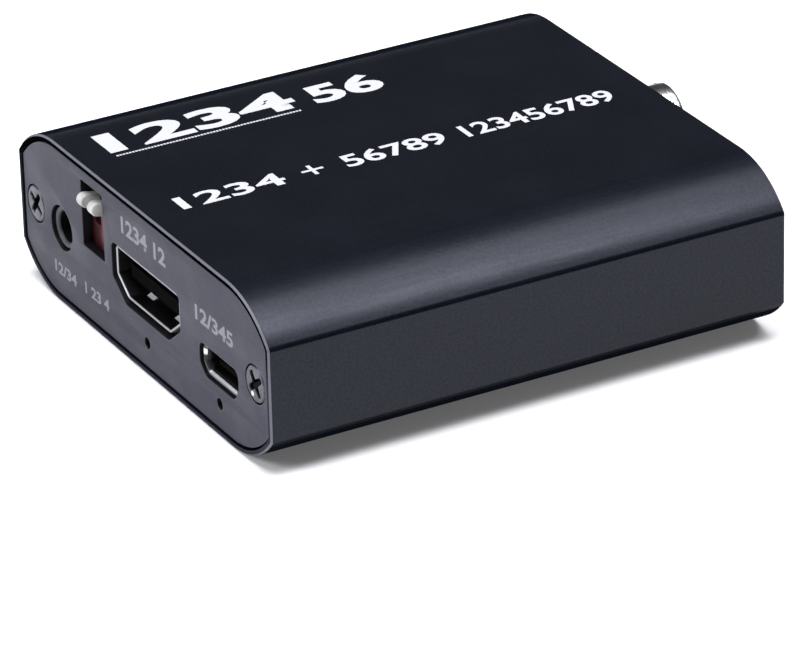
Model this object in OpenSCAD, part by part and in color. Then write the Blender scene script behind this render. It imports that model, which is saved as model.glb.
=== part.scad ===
// Small audio extractor box: an extruded case, two end plates and a circuit board with sockets.
// X runs to the right as one faces the input plate, Y runs from the input plate to the output
// plate, Z is up. The origin is the middle of the face that the case stands on. Millimetres.

/* [Case] */
// Width of the case
body_w = 58.2; // [54:0.1:68]
// Length of the case from rim to rim
body_len = 62; // [60:0.5:80]
// Height of the case
body_h = 19.2; // [19:0.1:24]
// Radius of the long round shoulders
shoulder_r = 11.4; // [9:0.1:14]
// Height of the flat band on each side
side_flat_h = 10.6; // [9:0.1:12]
// Wall of the extrusion
wall_t = 1.5; // [1.3:0.05:1.7]
// Wall left round each end plate
rim_t = 0.6; // [0.45:0.05:0.8]
// Chamfer on the outer edge of both ends
rim_chamfer = 0.2; // [0.1:0.05:0.4]

/* [End plates] */
// Thickness of an end plate
plate_t = 1.2; // [1:0.1:1.5]
// Depth of a plate's face below the rim
plate_recess = 0.15; // [0:0.05:0.4]
// Gap between a plate and the rim
plate_gap = 0.25; // [0.1:0.05:0.35]
// Chamfer on a plate's edges
plate_chamfer = 0.12; // [0.05:0.01:0.2]
// Diameter of the holes for the lamps
lamp_hole_d = 1.3; // [1:0.1:2]
// Height of the lamp holes' centres
lamp_hole_z = 3.7; // [3.4:0.1:4]

/* [Screws] */
// Diameter of the thread
screw_d = 2.4; // [2:0.1:2.6]
// Diameter of the countersunk head
screw_head_d = 4.3; // [3.8:0.1:4.6]
// Overall length
screw_len = 7; // [5:0.5:12]
// Distance from the side of the case to a screw's axis
screw_edge = 3.5; // [3.4:0.1:3.8]
// Width of one arm of the cross recess
cross_w = 0.7; // [0.4:0.05:0.7]
// Span of the cross recess
cross_span = 2.8; // [1.8:0.1:2.8]
// Depth of the cross recess
cross_deep = 0.9; // [0.5:0.1:1.1]
// Wall of the channel that a screw bites into
channel_wall = 1.05; // [0.8:0.05:1.2]
// Height of a channel's lowest line above the board
channel_rise = 0.65; // [0.3:0.05:1]
// Width of the slot along a channel
channel_slot = 1.2; // [0.8:0.1:1.6]

/* [Circuit board] */
// Thickness of the board
board_t = 1.6; // [1:0.1:1.7]
// Height of the board's upper face
board_top = 6.7; // [6.6:0.05:6.8]
// Gap between the board and an end plate
board_end_gap = 0.25; // [0.1:0.05:0.5]
// Gap between the board and a side wall
board_side_gap = 0.3; // [0.1:0.1:0.6]
// Reach of the lips that hold the board
lip_w = 1.5; // [1:0.1:2]
// Thickness of those lips
lip_t = 0.8; // [0.6:0.1:0.9]

/* [HDMI sockets] */
// Width of the metal shell
hdmi_w = 15; // [14.8:0.1:15.2]
// Height of the metal shell
hdmi_h = 5.5; // [5.3:0.1:5.8]
// Width of its narrow lower side
hdmi_low_w = 9.8; // [9:0.1:10.6]
// Height of its slanted corners
hdmi_slant_h = 2; // [1.6:0.1:2.2]
// Sheet thickness of the shell
hdmi_t = 0.35; // [0.25:0.05:0.4]
// Length of the shell
hdmi_len = 11.8; // [11:0.1:13]
// Depth of the mouth below the plate's face
hdmi_recess = 0.5; // [0.3:0.1:0.9]
// Gap round the shell in the plate
hdmi_hole_gap = 0.45; // [0.45:0.05:0.8]
// How far the input socket sits left of the middle of its hole
hdmi_hole_shift = 0.35; // [0:0.05:0.4]
// Width of the tongue
hdmi_tongue_w = 11.4; // [11:0.1:12]
// Thickness of the tongue
hdmi_tongue_t = 1.6; // [1.4:0.1:1.8]
// Height of the tongue's middle above the board
hdmi_tongue_z = 2.9; // [2.7:0.1:3]
// Depth of the tongue's tip behind the mouth
hdmi_tip_inset = 0.9; // [0.5:0.1:1.5]
// Length of the block behind the tongue
hdmi_block_len = 4; // [3:0.1:5]
// Number of contacts
hdmi_pins = 19; // [7:2:19]
// Distance between contacts, both rows counted
hdmi_pitch = 0.5; // [0.4:0.05:0.55]

/* [Micro USB socket] */
// Width of the metal shell
usb_w = 7.5; // [7.2:0.1:7.8]
// Height of the metal shell
usb_h = 2.45; // [2.3:0.05:2.8]
// Width of its narrow lower side
usb_low_w = 5.9; // [5.4:0.1:6.2]
// Height of its slanted corners
usb_slant_h = 0.9; // [0.7:0.1:1.2]
// Sheet thickness of the shell
usb_t = 0.25; // [0.15:0.05:0.3]
// Length of the shell
usb_len = 5.6; // [5:0.1:7]
// Depth of the mouth below the plate's face
usb_recess = 0.4; // [0.2:0.1:0.8]
// How far the mouth's lip stands out
usb_lip = 0.42; // [0.2:0.02:0.5]
// Gap round the lip in the plate
usb_hole_gap = 0.2; // [0.15:0.05:0.6]
// How deep the shell sits in the notch of the board
usb_sink = 0.45; // [0.2:0.05:0.5]
// Width of the tongue
usb_tongue_w = 3.8; // [3.4:0.1:4.2]
// Thickness of the tongue
usb_tongue_t = 0.6; // [0.4:0.1:0.7]
// Height of the tongue's middle above the board
usb_tongue_z = 1.4; // [1.3:0.05:1.5]
// Depth of the tongue's tip behind the mouth
usb_tip_inset = 0.7; // [0.4:0.1:1.2]
// Length of the block behind the tongue
usb_block_len = 2; // [1.5:0.1:2.5]
// Number of contacts
usb_pins = 5; // [3:2:5]
// Distance between contacts
usb_pitch = 0.65; // [0.5:0.05:0.7]

/* [Headphone jack] */
// Height of its axis above the board
jack_axis_h = 2.45; // [2.4:0.05:2.5]
// Diameter of the bore for a 3.5 mm plug
jack_bore_d = 3.6; // [3.55:0.01:3.7]
// Length of the bore
jack_bore_len = 12.4; // [11:0.1:13]
// Diameter of the collar in the plate
jack_collar_d = 4.8; // [4.4:0.1:4.9]
// Depth of the collar's face below the plate's face
jack_recess = 0.45; // [0.1:0.05:0.8]
// Gap round the collar in the plate
jack_hole_gap = 0.2; // [0.1:0.05:0.5]
// Chamfer at the mouth of the bore
jack_lead = 0.3; // [0.1:0.05:0.5]
// Width of the jack's body
jack_w = 6.4; // [6:0.1:6.8]
// Height of the jack's body
jack_h = 4.9; // [4.8:0.1:5.4]
// Length of the jack's body
jack_len = 12; // [11:0.1:14]

/* [Switch] */
// Width of the switch body
dip_w = 6.4; // [6.2:0.1:6.6]
// Height of the switch body
dip_h = 10.4; // [10.2:0.1:10.6]
// Length of the switch body
dip_len = 6.2; // [5.6:0.1:8]
// Width of the plate's slot
dip_slot_w = 5.2; // [4.8:0.1:5.8]
// Height of the plate's slot
dip_slot_h = 7.8; // [7:0.1:8.4]
// Room over the raised keys in the slot
dip_slot_over = 1; // [0.6:0.1:1.1]
// Distance between the two keys
key_pitch = 2.54; // [2.4:0.01:2.6]
// Width of a key
key_w = 1.25; // [1:0.05:1.4]
// Height of a key's arm
key_h = 1.5; // [1:0.1:1.6]
// How far a key stands out of the plate's face
key_reach = 1; // [0.4:0.1:1.4]
// Height of the keys' pivot above the board
key_pivot_h = 7.6; // [7.4:0.1:7.8]
// Depth of the pivot behind the front of the switch
key_pivot_deep = 3.2; // [2.8:0.1:3.4]
// Radius of a key's hub
key_hub_r = 1.3; // [1:0.1:1.4]
// Angle of a raised key
key_lift = 11.5; // [8:0.5:13]
// Diameter of the pivot stubs
key_stub_d = 1.4; // [1:0.1:1.6]

/* [RCA jack] */
// Height of its axis above the board
rca_axis_h = 5.5; // [5.2:0.1:5.6]
// Outer diameter of the barrel
rca_d = 8.3; // [8.2:0.05:8.5]
// Wall of the barrel
rca_t = 0.55; // [0.4:0.05:0.8]
// How far the barrel stands out of the plate's face
rca_reach = 5.4; // [4:0.1:9]
// Diameter of the flange behind the plate
rca_flange_d = 9.2; // [8.8:0.1:9.3]
// Thickness of the flange
rca_flange_t = 0.8; // [0.4:0.1:1]
// Gap round the barrel in the plate
rca_hole_gap = 0.65; // [0.55:0.05:0.9]
// Depth of the insulator's face below the barrel's rim
rca_face_inset = 0.25; // [0.1:0.05:0.6]
// Diameter of the mouth of the insulator's funnel
rca_funnel_d = 4.6; // [4.2:0.1:5.4]
// Depth of the funnel
rca_funnel_deep = 1.4; // [1:0.1:2]
// Diameter of the hole for a plug's pin
rca_pin_hole_d = 3.2; // [3.15:0.01:3.3]
// Wall of the centre contact
rca_contact_t = 0.3; // [0.2:0.05:0.4]
// Length of the centre contact
rca_contact_len = 8; // [6:0.5:9]
// Width of the jack's housing
rca_block_w = 10; // [9.6:0.1:11]
// Length of the jack's housing
rca_block_len = 9; // [8:0.1:11]
// Height of the jack's housing
rca_block_h = 10.4; // [10:0.1:10.6]

/* [Optical port] */
// Width of the housing
optical_w = 9.8; // [9.6:0.1:10.2]
// Height of the housing
optical_h = 9.8; // [9.7:0.1:10]
// Length of the housing
optical_len = 13; // [12.6:0.1:15]
// Depth of the housing's face below the plate's face
optical_recess = 0.4; // [0.1:0.1:0.8]
// Gap round the housing in the plate
optical_hole_gap = 0.4; // [0.2:0.05:0.6]
// Width of the mouth
mouth_w = 7.7; // [7.5:0.1:7.8]
// Height of the mouth
mouth_h = 7.9; // [7.6:0.1:8]
// Thickness of the lip round the mouth
mouth_lip_t = 0.9; // [0.6:0.1:1.2]
// Width of the room behind the lip
room_w = 8.5; // [8.4:0.05:8.6]
// Height of the room behind the lip
room_h = 8.6; // [8.5:0.05:8.7]
// Length of the room behind the lip
room_len = 9.2; // [9:0.1:10]
// Thickness of the wall behind the room
room_wall_t = 0.8; // [0.6:0.1:1]
// Diameter of the hole for a plug's tip
tip_hole_d = 2.6; // [2.5:0.1:3]
// Thickness of the flap
flap_t = 0.8; // [0.6:0.05:0.9]
// Gap round the flap
flap_gap = 0.15; // [0.1:0.01:0.2]
// Diameter of the flap's pin
flap_pin_d = 0.8; // [0.6:0.05:0.85]
// Radius of the flap's knuckle
knuckle_r = 0.65; // [0.6:0.01:0.66]
// Wire of the flap's spring
spring_wire_d = 0.16; // [0.1:0.02:0.18]
// Turns of the flap's spring
spring_turns = 4; // [2:1:5]

/* [Parts on the board] */
// Side of the main chip
main_chip_w = 10; // [7:0.5:10.5]
// Length of the audio chip
audio_chip_len = 10; // [8:0.5:10.5]
// Length of the memory chip
memory_chip_len = 5; // [4:0.1:6]
// Width of the small chips' bodies
small_chip_w = 4; // [3.6:0.1:4.4]
// Thickness of the chips
chip_t = 1.4; // [1:0.1:1.8]
// Side of the inductor
inductor_w = 5; // [4:0.1:5.4]
// Height of the inductor
inductor_h = 2.8; // [2:0.1:2.9]
// Length of the crystal's can
crystal_len = 10.6; // [8:0.1:11]
// Width of the crystal's can
crystal_w = 4.4; // [3.6:0.1:4.8]
// Height of the crystal's can
crystal_h = 2.6; // [2:0.1:2.9]
// Diameter of the round capacitors
can_d = 4; // [3.5:0.1:4.4]
// Height of the round capacitors
can_h = 5.2; // [4:0.1:5.6]
// Height of a lamp under the board
lamp_h = 2; // [1.9:0.1:2.4]
// Width of a lamp
lamp_w = 3; // [2:0.1:3.4]

/* [Hidden] */
$fn = 96;

// Every cut runs past its faces by this much
overrun = 1;
// Sliding fit between pieces that are pressed or moulded together
snug = 0.02;
// Radial clearance of the moving pins
running = 0.05;

// Case: the shoulders' centres and the plates' planes
shoulder_rise = (body_h - side_flat_h) / 2;
shoulder_run = sqrt(pow(shoulder_r, 2) - pow(shoulder_r - shoulder_rise, 2));
arc_x = body_w / 2 - shoulder_run;
arc_z = body_h / 2 - shoulder_r;
// The upper and lower shoulders share this much of the side's flat band
band_h = side_flat_h / 4;
face_y = body_len / 2 - plate_recess;
plate_back_y = face_y - plate_t;
screw_x = body_w / 2 - screw_edge;
channel_r = screw_d / 2 + channel_wall;
screw_z = board_top + channel_rise + channel_r;
screw_hole_play = 0.15;

// Rows of sockets between the two channels: the free width of each row is shared out as the
// gaps in front of its sockets, from left to right as one faces the input plate
channel_x = screw_x - channel_r;
usb_lip_w = usb_w + 2 * usb_lip;
front_free_w = 2 * channel_x - jack_w - dip_w - hdmi_w - usb_lip_w;
front_gap_shares = [0.08049, 0.14205, 0.11364, 0.49527];
jack_x = jack_w / 2 - channel_x + front_gap_shares[0] * front_free_w;
dip_x = jack_x + jack_w / 2 + front_gap_shares[1] * front_free_w + dip_w / 2;
hdmi_in_x = dip_x + dip_w / 2 + front_gap_shares[2] * front_free_w + hdmi_w / 2;
hdmi_in_hole_x = hdmi_in_x + hdmi_hole_shift;
usb_x = hdmi_in_x + hdmi_w / 2 + front_gap_shares[3] * front_free_w + usb_lip_w / 2;
rear_free_w = 2 * channel_x - optical_w - rca_block_w - hdmi_w;
rear_gap_shares = [0.13866, 0.30252, 0.47059];
optical_x = optical_w / 2 - channel_x + rear_gap_shares[0] * rear_free_w;
rca_x = optical_x + optical_w / 2 + rear_gap_shares[1] * rear_free_w + rca_block_w / 2;
hdmi_out_x = rca_x + rca_block_w / 2 + rear_gap_shares[2] * rear_free_w + hdmi_w / 2;

// Board
board_low = board_top - board_t;
board_w = body_w - 2 * (wall_t + board_side_gap);
board_len = 2 * (plate_back_y - board_end_gap);

// Metal strips of the sockets
strip_t = 0.12;
hdmi_strip_w = 0.26;
usb_strip_w = 0.3;
strip_foot = 0.7;
hdmi_strip_inset = 0.5;
usb_strip_inset = 0.4;

// Wings of the micro USB shell, and the play of the shell in the board's notch
usb_wing_y = 1.6;
usb_wing_len = 2.6;
usb_wing_w = 0.8;
usb_notch_gap = 0.1;

// Legs of the HDMI shells: their places behind the mouth, and their size
hdmi_leg_shares = [0.2, 0.73];
hdmi_leg_w = 1.4;
hdmi_leg_end = 0.6;
leg_hole_gap = 0.15;

// Catch springs pressed out of the HDMI shells
catch_x = 3.2;
catch_w = 1.5;
catch_y = 1.8;
catch_len = 3;
catch_rise = 0.55;

// Headphone jack: windows in its sides and the springs in them
jack_window_len = 7.6;
jack_window_y = 3.4;
jack_window_h = 1.2;
jack_wall_t = 0.6;
jack_spring_t = 0.22;
jack_spring_dip_share = 0.62;

// Switch
dip_front_gap = 0.05;
dip_front_y = plate_back_y - dip_front_gap;
key_side_play = 0.15;
key_room_top = 1.8;
key_room_low = 2.2;
key_stub_len = 0.4;
key_stub_gap = 0.08;
key_arm_len = face_y + key_reach - dip_front_y + key_pivot_deep;
dip_slot_top = key_pivot_h + key_arm_len * sin(key_lift) + key_h / 2 + dip_slot_over;
dip_pin_w = 0.5;
dip_pin_end = 0.8;
dip_pin_y = 1.4;

// RCA jack
rca_z = board_top + rca_axis_h;
rca_bore_r = rca_d / 2 - rca_t;
rca_flange_gap = 0.35;
rca_block_y = plate_back_y - rca_flange_gap;
rca_rim_y = face_y + rca_reach;
rca_rim_r = 0.2;
rca_slit_w = 0.4;

// Optical port: the flap turns on a pin under the room's ceiling
room_low = (optical_h - room_h) / 2;
mouth_low = (optical_h - mouth_h) / 2;
flap_front = mouth_lip_t + flap_gap / 2;
pin_y = flap_front + knuckle_r;
pin_above = knuckle_r + flap_gap / 2;
pin_z = room_low + room_h - pin_above;
flap_w = room_w - 2 * flap_gap;
spring_mean_r = (flap_pin_d / 2 + pin_above) / 2;
spring_rise = 1.25 * spring_wire_d;
spring_room = (spring_turns + 1 / 4) * spring_rise + spring_wire_d + 2 * flap_gap;
spring_leg_len = 3;
spring_foot_len = 0.25;
spring_turn_rings = 16;
spring_sides = 6;
emitter_gap = 0.1;

// Places of the small parts, as shares of the board's width and length from its middle
main_chip_shares = [0.064, -0.085];
audio_chip_shares = [-0.092, 0.213];
memory_chip_shares = [0.275, -0.136];
regulator_shares = [0.348, 0.051];
crystal_shares = [-0.165, 0.068];
inductor_shares = [0.22, 0.085];
can_shares = [[-0.366, -0.1], [-0.366, 0.01]];
small_cap_shares = [
    [-0.256, -0.153], [-0.256, -0.102], [-0.256, -0.051],
    [0.2, 0.204], [0.256, 0.204], [0.311, 0.204]
];
// The lamps' shifts from the middles of their sockets
hdmi_in_lamp_shift = 0.2;
usb_lamp_shift = 0.1;
hdmi_out_lamp_shift = 0.1;
lamp_hole_x = hdmi_in_x + hdmi_in_lamp_shift;
lamp_hole_2_x = usb_x - usb_lamp_shift;
rear_lamp_x = hdmi_out_x + hdmi_out_lamp_shift;

// Draws its children, laid out in X and Z, from y0 to y1
module along_y(y0, y1) {
    translate([0, y1, 0]) rotate([90, 0, 0]) linear_extrude(y1 - y0) children();
}

// Draws its children, laid out in Y and Z, for a width along X
module along_x(width) {
    rotate([90, 0, 90]) linear_extrude(width, center = true) children();
}

// Cylinder along Y from y0 to y1
module rod_y(r, y0, y1) {
    translate([0, y0, 0]) rotate([-90, 0, 0]) cylinder(r = r, h = y1 - y0);
}

// Cone along Y from radius r0 at y0 to radius r1 at y1
module cone_y(r0, r1, y0, y1) {
    translate([0, y0, 0]) rotate([-90, 0, 0]) cylinder(r1 = r0, r2 = r1, h = y1 - y0);
}

// Cylinder along X, centred
module rod_x(r, length) {
    rotate([0, 90, 0]) cylinder(r = r, h = length, center = true);
}

// Box standing on z = 0, centred in X, running back from y = 0
module block(w, length, h) {
    translate([-w / 2, 0, 0]) cube([w, length, h]);
}

// Places a small part on the board
module on_board(shares) {
    translate([shares[0] * board_w, shares[1] * board_len, board_top]) children();
}

// Places a socket behind the input plate: its mouth at y = 0, the board's face at z = 0
module on_front(x, recess) {
    translate([x, recess - face_y, board_top]) children();
}

// The same behind the output plate
module on_rear(x, recess) {
    translate([x, face_y - recess, board_top]) rotate([0, 0, 180]) children();
}

// Outline of the case, moved inwards by inset: two flats joined by four long shoulders
module outline(inset) {
    half_w = body_w / 2 - inset;
    for (side = [-1, 1], level = [-1, 1])
        intersection() {
            translate([side * arc_x, body_h / 2 + level * arc_z]) circle(r = shoulder_r - inset);
            translate([side * (arc_x / 2 + half_w) / 2, body_h / 2 + level * (body_h / 2 - band_h) / 2])
                square([half_w - arc_x / 2, body_h / 2 + band_h], center = true);
        }
    translate([-arc_x, inset]) square([2 * arc_x, body_h - 2 * inset]);
}

// Rectangle with cut corners, centred on x = 0, from y = low to y = high
function cut_rectangle(half, low, high, cut) = [
    [-half, low + cut], [-half, high - cut], [cut - half, high], [half - cut, high],
    [half, high - cut], [half, low + cut], [half - cut, low], [cut - half, low]
];

// One long shoulder as a round bar with chamfered ends
module shoulder_bar(arc_r, half_len, chamfer) {
    rotate([90, 0, 0])
        rotate_extrude()
        polygon([
            [0, -half_len], [arc_r - chamfer, -half_len], [arc_r, chamfer - half_len],
            [arc_r, half_len - chamfer], [arc_r - chamfer, half_len], [0, half_len]
        ]);
}

// A bar with the case's outline and chamfered ends, centred on y = 0
module bar(length, inset, chamfer) {
    half_w = body_w / 2 - inset;
    half_len = length / 2;
    intersection() {
        union() {
            for (side = [-1, 1], level = [-1, 1])
                intersection() {
                    translate([side * arc_x, 0, body_h / 2 + level * arc_z])
                        shoulder_bar(shoulder_r - inset, half_len, chamfer);
                    translate([side * (arc_x / 2 + half_w) / 2, 0, body_h / 2 + level * (body_h / 2 - band_h) / 2])
                        cube([half_w - arc_x / 2, length, body_h / 2 + band_h], center = true);
                }
            along_x(2 * arc_x)
                polygon(cut_rectangle(half_len, inset, body_h - inset, chamfer));
        }
        linear_extrude(body_h)
            polygon(cut_rectangle(half_w, -half_len, half_len, chamfer));
    }
}

// Outline of a socket with slanted lower corners, its lower side on z = 0, grown by grow
function socket_points(w, h, low_w, slant_h, grow) =
    let (slope = atan2(slant_h, (w - low_w) / 2))
    let (low_half = low_w / 2 + grow * tan(slope / 2))
    let (half = w / 2 + grow)
    let (corner = slant_h - grow * tan((90 - slope) / 2))
    [
        [-low_half, -grow], [low_half, -grow], [half, corner],
        [half, h + grow], [-half, h + grow], [-half, corner]
    ];

// Channels along the inside of the case, each on a web over the board's edge, and lips under it
module rails() {
    lip_x = body_w / 2 - wall_t - lip_w;
    for (side = [0, 1])
        mirror([side, 0, 0]) {
            translate([screw_x, 0, screw_z])
                rod_y(channel_r, -body_len / 2, body_len / 2);
            translate([lip_x, -body_len / 2, board_top + snug])
                cube([lip_w + wall_t / 2, body_len, screw_z - board_top - snug]);
            translate([lip_x, -body_len / 2, board_low - snug - lip_t])
                cube([lip_w + wall_t / 2, body_len, lip_t]);
        }
}

module case_shell() {
    color("dimgray")
    difference() {
        bar(body_len, 0, rim_chamfer);
        difference() {
            along_y(-body_len / 2 - overrun, body_len / 2 + overrun) outline(wall_t);
            rails();
        }
        along_y(-body_len / 2 - overrun, -plate_back_y) outline(rim_t);
        along_y(plate_back_y, body_len / 2 + overrun) outline(rim_t);
        for (side = [0, 1])
            mirror([side, 0, 0])
                translate([screw_x, 0, screw_z]) {
                    rod_y(screw_d / 2 + snug, -body_len / 2 - overrun, body_len / 2 + overrun);
                    translate([-screw_d - channel_wall, -body_len / 2 - overrun, -channel_slot / 2])
                        cube([screw_d + channel_wall, body_len + 2 * overrun, channel_slot]);
                }
    }
}

// Blank end plate with its two countersunk holes, its outer face at y = -face_y
module plate_blank() {
    difference() {
        translate([0, -(face_y + plate_back_y) / 2, 0])
            bar(plate_t, rim_t + plate_gap, plate_chamfer);
        for (side = [-1, 1])
            translate([side * screw_x, 0, screw_z]) {
                rod_y(screw_d / 2 + screw_hole_play, -face_y - overrun, -plate_back_y + overrun);
                cone_y(screw_head_d / 2 + snug, screw_d / 2 + snug,
                       -face_y, -face_y + (screw_head_d - screw_d) / 2);
                rod_y(screw_head_d / 2 + snug, -face_y - overrun, -face_y);
            }
    }
}

module lamp_hole(x) {
    translate([x, 0, lamp_hole_z]) rod_y(lamp_hole_d / 2, -face_y - overrun, overrun - plate_back_y);
}

// Hole in an end plate with a socket's outline
module socket_hole(x, w, h, low_w, slant_h, gap, sink = 0) {
    translate([x, 0, board_top - sink])
        along_y(-face_y - overrun, overrun - plate_back_y)
        polygon(socket_points(w, h, low_w, slant_h, gap));
}

module front_plate() {
    color("slategray")
    difference() {
        plate_blank();
        socket_hole(hdmi_in_hole_x, hdmi_w, hdmi_h, hdmi_low_w, hdmi_slant_h, hdmi_hole_gap);
        socket_hole(usb_x, usb_w, usb_h, usb_low_w, usb_slant_h, usb_lip + usb_hole_gap, usb_sink);
        translate([jack_x, 0, board_top + jack_axis_h])
            rod_y(jack_collar_d / 2 + jack_hole_gap, -face_y - overrun, overrun - plate_back_y);
        translate([dip_x, -face_y - overrun, board_top + dip_slot_top - dip_slot_h])
            block(dip_slot_w, plate_t + 2 * overrun, dip_slot_h);
        lamp_hole(lamp_hole_x);
        lamp_hole(lamp_hole_2_x);
    }
}

module rear_plate() {
    color("slategray")
    rotate([0, 0, 180])
    difference() {
        plate_blank();
        socket_hole(-hdmi_out_x, hdmi_w, hdmi_h, hdmi_low_w, hdmi_slant_h, hdmi_hole_gap);
        translate([-rca_x, 0, rca_z])
            rod_y(rca_d / 2 + rca_hole_gap, -face_y - overrun, overrun - plate_back_y);
        translate([-optical_x, -face_y - overrun, board_top - optical_hole_gap])
            block(optical_w + 2 * optical_hole_gap, plate_t + 2 * overrun,
                  optical_h + 2 * optical_hole_gap);
        lamp_hole(-rear_lamp_x);
    }
}

// Countersunk screw with a cross recess, its head's face at y = 0, its tip pointing along +Y
module screw() {
    head_t = (screw_head_d - screw_d) / 2;
    tip_len = screw_d / 2;
    difference() {
        union() {
            cone_y(screw_head_d / 2, screw_d / 2, 0, head_t);
            rod_y(screw_d / 2, head_t, screw_len - tip_len);
            cone_y(screw_d / 2, screw_d / 6, screw_len - tip_len, screw_len);
        }
        for (turn = [45, 135])
            rotate([0, turn, 0])
                translate([-cross_span / 2, -overrun, -cross_w / 2])
                cube([cross_span, overrun + cross_deep, cross_w]);
    }
}

module front_screws() {
    color("gray")
    for (side = [-1, 1])
        translate([side * screw_x, -face_y, screw_z]) screw();
}

module rear_screws() {
    color("gray")
    rotate([0, 0, 180])
    for (side = [-1, 1])
        translate([side * screw_x, -face_y, screw_z]) screw();
}

// Slots in the board for the legs of an HDMI shell
module leg_slots() {
    for (side = [-1, 1], y = hdmi_len * hdmi_leg_shares)
        translate([side * (hdmi_w - hdmi_t) / 2, y - leg_hole_gap, -board_t - overrun])
            block(hdmi_t + 2 * leg_hole_gap, hdmi_leg_w + 2 * leg_hole_gap, board_t + 2 * overrun);
}

// Pins of the switch, or the round holes for them when grown
module switch_pins(grow) {
    for (side = [-1, 1], y = [dip_pin_y, dip_len - dip_pin_y])
        translate([side * key_pitch / 2, y, -board_t - dip_pin_end])
            cylinder(d = dip_pin_w + 2 * grow, h = board_t + dip_pin_end + overrun * sign(grow));
}

module circuit_board() {
    color("darkgreen")
    difference() {
        translate([0, -board_len / 2, board_low]) block(board_w, board_len, board_t);
        on_front(hdmi_in_x, hdmi_recess) leg_slots();
        on_rear(hdmi_out_x, hdmi_recess) leg_slots();
        translate([dip_x, -dip_front_y, board_top]) switch_pins(leg_hole_gap);
        usb_place() usb_notch();
    }
}

// HDMI shell: a bent tube of sheet with four legs and two catch springs on its floor
module hdmi_shell() {
    difference() {
        along_y(0, hdmi_len)
            polygon(socket_points(hdmi_w, hdmi_h, hdmi_low_w, hdmi_slant_h, 0));
        along_y(-overrun, hdmi_len + overrun)
            polygon(socket_points(hdmi_w, hdmi_h, hdmi_low_w, hdmi_slant_h, -hdmi_t));
    }
    for (side = [-1, 1], y = hdmi_len * hdmi_leg_shares)
        translate([side * (hdmi_w - hdmi_t) / 2, y, -board_t - hdmi_leg_end])
            block(hdmi_t, hdmi_leg_w, board_t + hdmi_leg_end + hdmi_slant_h + hdmi_t);
    for (side = [-1, 1])
        translate([side * catch_x, 0, 0])
            along_x(catch_w)
            polygon([
                [catch_y, hdmi_t / 2], [catch_y + catch_len, hdmi_t / 2],
                [catch_y + catch_len, hdmi_t], [catch_y + catch_len / 3, hdmi_t + catch_rise],
                [catch_y, hdmi_t]
            ]);
}

// Bent strip in Y and Z: along the tongue, down behind the block, and a foot on the board
function strip_points(y_tip, y_back, z_low, z_foot) = [
    [y_tip, z_low], [y_back, z_low], [y_back, z_foot], [y_back + strip_foot, z_foot],
    [y_back + strip_foot, z_foot + strip_t], [y_back + strip_t, z_foot + strip_t],
    [y_back + strip_t, z_low + strip_t], [y_tip, z_low + strip_t]
];

// Strips in two rows, over and under a tongue; every second one lies under it
module strips(count, pitch, width, y_tip, y_back, z_mid, tongue_t, both_rows, z_foot = 0) {
    for (i = [0 : count - 1]) {
        over = both_rows && i % 2 == 0;
        z_low = over ? z_mid + tongue_t / 2 : z_mid - tongue_t / 2 - strip_t;
        translate([(i - (count - 1) / 2) * pitch, 0, 0])
            along_x(width)
            polygon(strip_points(y_tip, y_back, z_low, z_foot));
    }
}

module hdmi_contacts(grow) {
    strips(hdmi_pins, hdmi_pitch, hdmi_strip_w + grow, hdmi_tip_inset + hdmi_strip_inset, hdmi_len,
           hdmi_tongue_z, hdmi_tongue_t, true);
}

module hdmi_tongue() {
    difference() {
        union() {
            along_y(hdmi_len - hdmi_block_len, hdmi_len)
                polygon(socket_points(hdmi_w, hdmi_h, hdmi_low_w, hdmi_slant_h, -hdmi_t - snug));
            translate([0, hdmi_tip_inset, hdmi_tongue_z - hdmi_tongue_t / 2])
                block(hdmi_tongue_w, hdmi_len - hdmi_tip_inset - hdmi_block_len / 2, hdmi_tongue_t);
        }
        hdmi_contacts(snug);
    }
}

module hdmi_in_shell() {
    color("silver")
    on_front(hdmi_in_x, hdmi_recess) hdmi_shell();
}

module hdmi_in_tongue() {
    color("black")
    on_front(hdmi_in_x, hdmi_recess) hdmi_tongue();
}

module hdmi_in_contacts() {
    color("gold")
    on_front(hdmi_in_x, hdmi_recess) hdmi_contacts(0);
}

module hdmi_out_shell() {
    color("silver")
    on_rear(hdmi_out_x, hdmi_recess) hdmi_shell();
}

module hdmi_out_tongue() {
    color("black")
    on_rear(hdmi_out_x, hdmi_recess) hdmi_tongue();
}

module hdmi_out_contacts() {
    color("gold")
    on_rear(hdmi_out_x, hdmi_recess) hdmi_contacts(0);
}

// Micro USB shell: a short bent tube with a lip turned out round its mouth
// Places the micro USB socket, sunk into the board
module usb_place() {
    translate([usb_x, usb_recess - face_y, board_top - usb_sink]) children();
}

// Notch in the board's edge that takes the lower part of the shell
module usb_notch() {
    shell_w = usb_low_w + (usb_w - usb_low_w) * usb_sink / usb_slant_h;
    translate([0, -overrun, -board_t])
        block(shell_w + 2 * usb_notch_gap, usb_len + usb_notch_gap + overrun, 2 * board_t);
}

module usb_shell() {
    color("silver")
    usb_place()
    difference() {
        union() {
            along_y(0, usb_len)
                polygon(socket_points(usb_w, usb_h, usb_low_w, usb_slant_h, 0));
            along_y(0, usb_t)
                polygon(socket_points(usb_w, usb_h, usb_low_w, usb_slant_h, usb_lip));
            // wings that rest on the board beside the notch
            for (side = [-1, 1])
                translate([side * usb_w / 2, usb_wing_y, usb_sink])
                    block(2 * usb_wing_w, usb_wing_len, usb_t);
        }
        along_y(-overrun, usb_len + overrun)
            polygon(socket_points(usb_w, usb_h, usb_low_w, usb_slant_h, -usb_t));
    }
}

module usb_strips(grow) {
    strips(usb_pins, usb_pitch, usb_strip_w + grow, usb_tip_inset + usb_strip_inset, usb_len,
           usb_tongue_z, usb_tongue_t, false, usb_sink);
}

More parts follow.
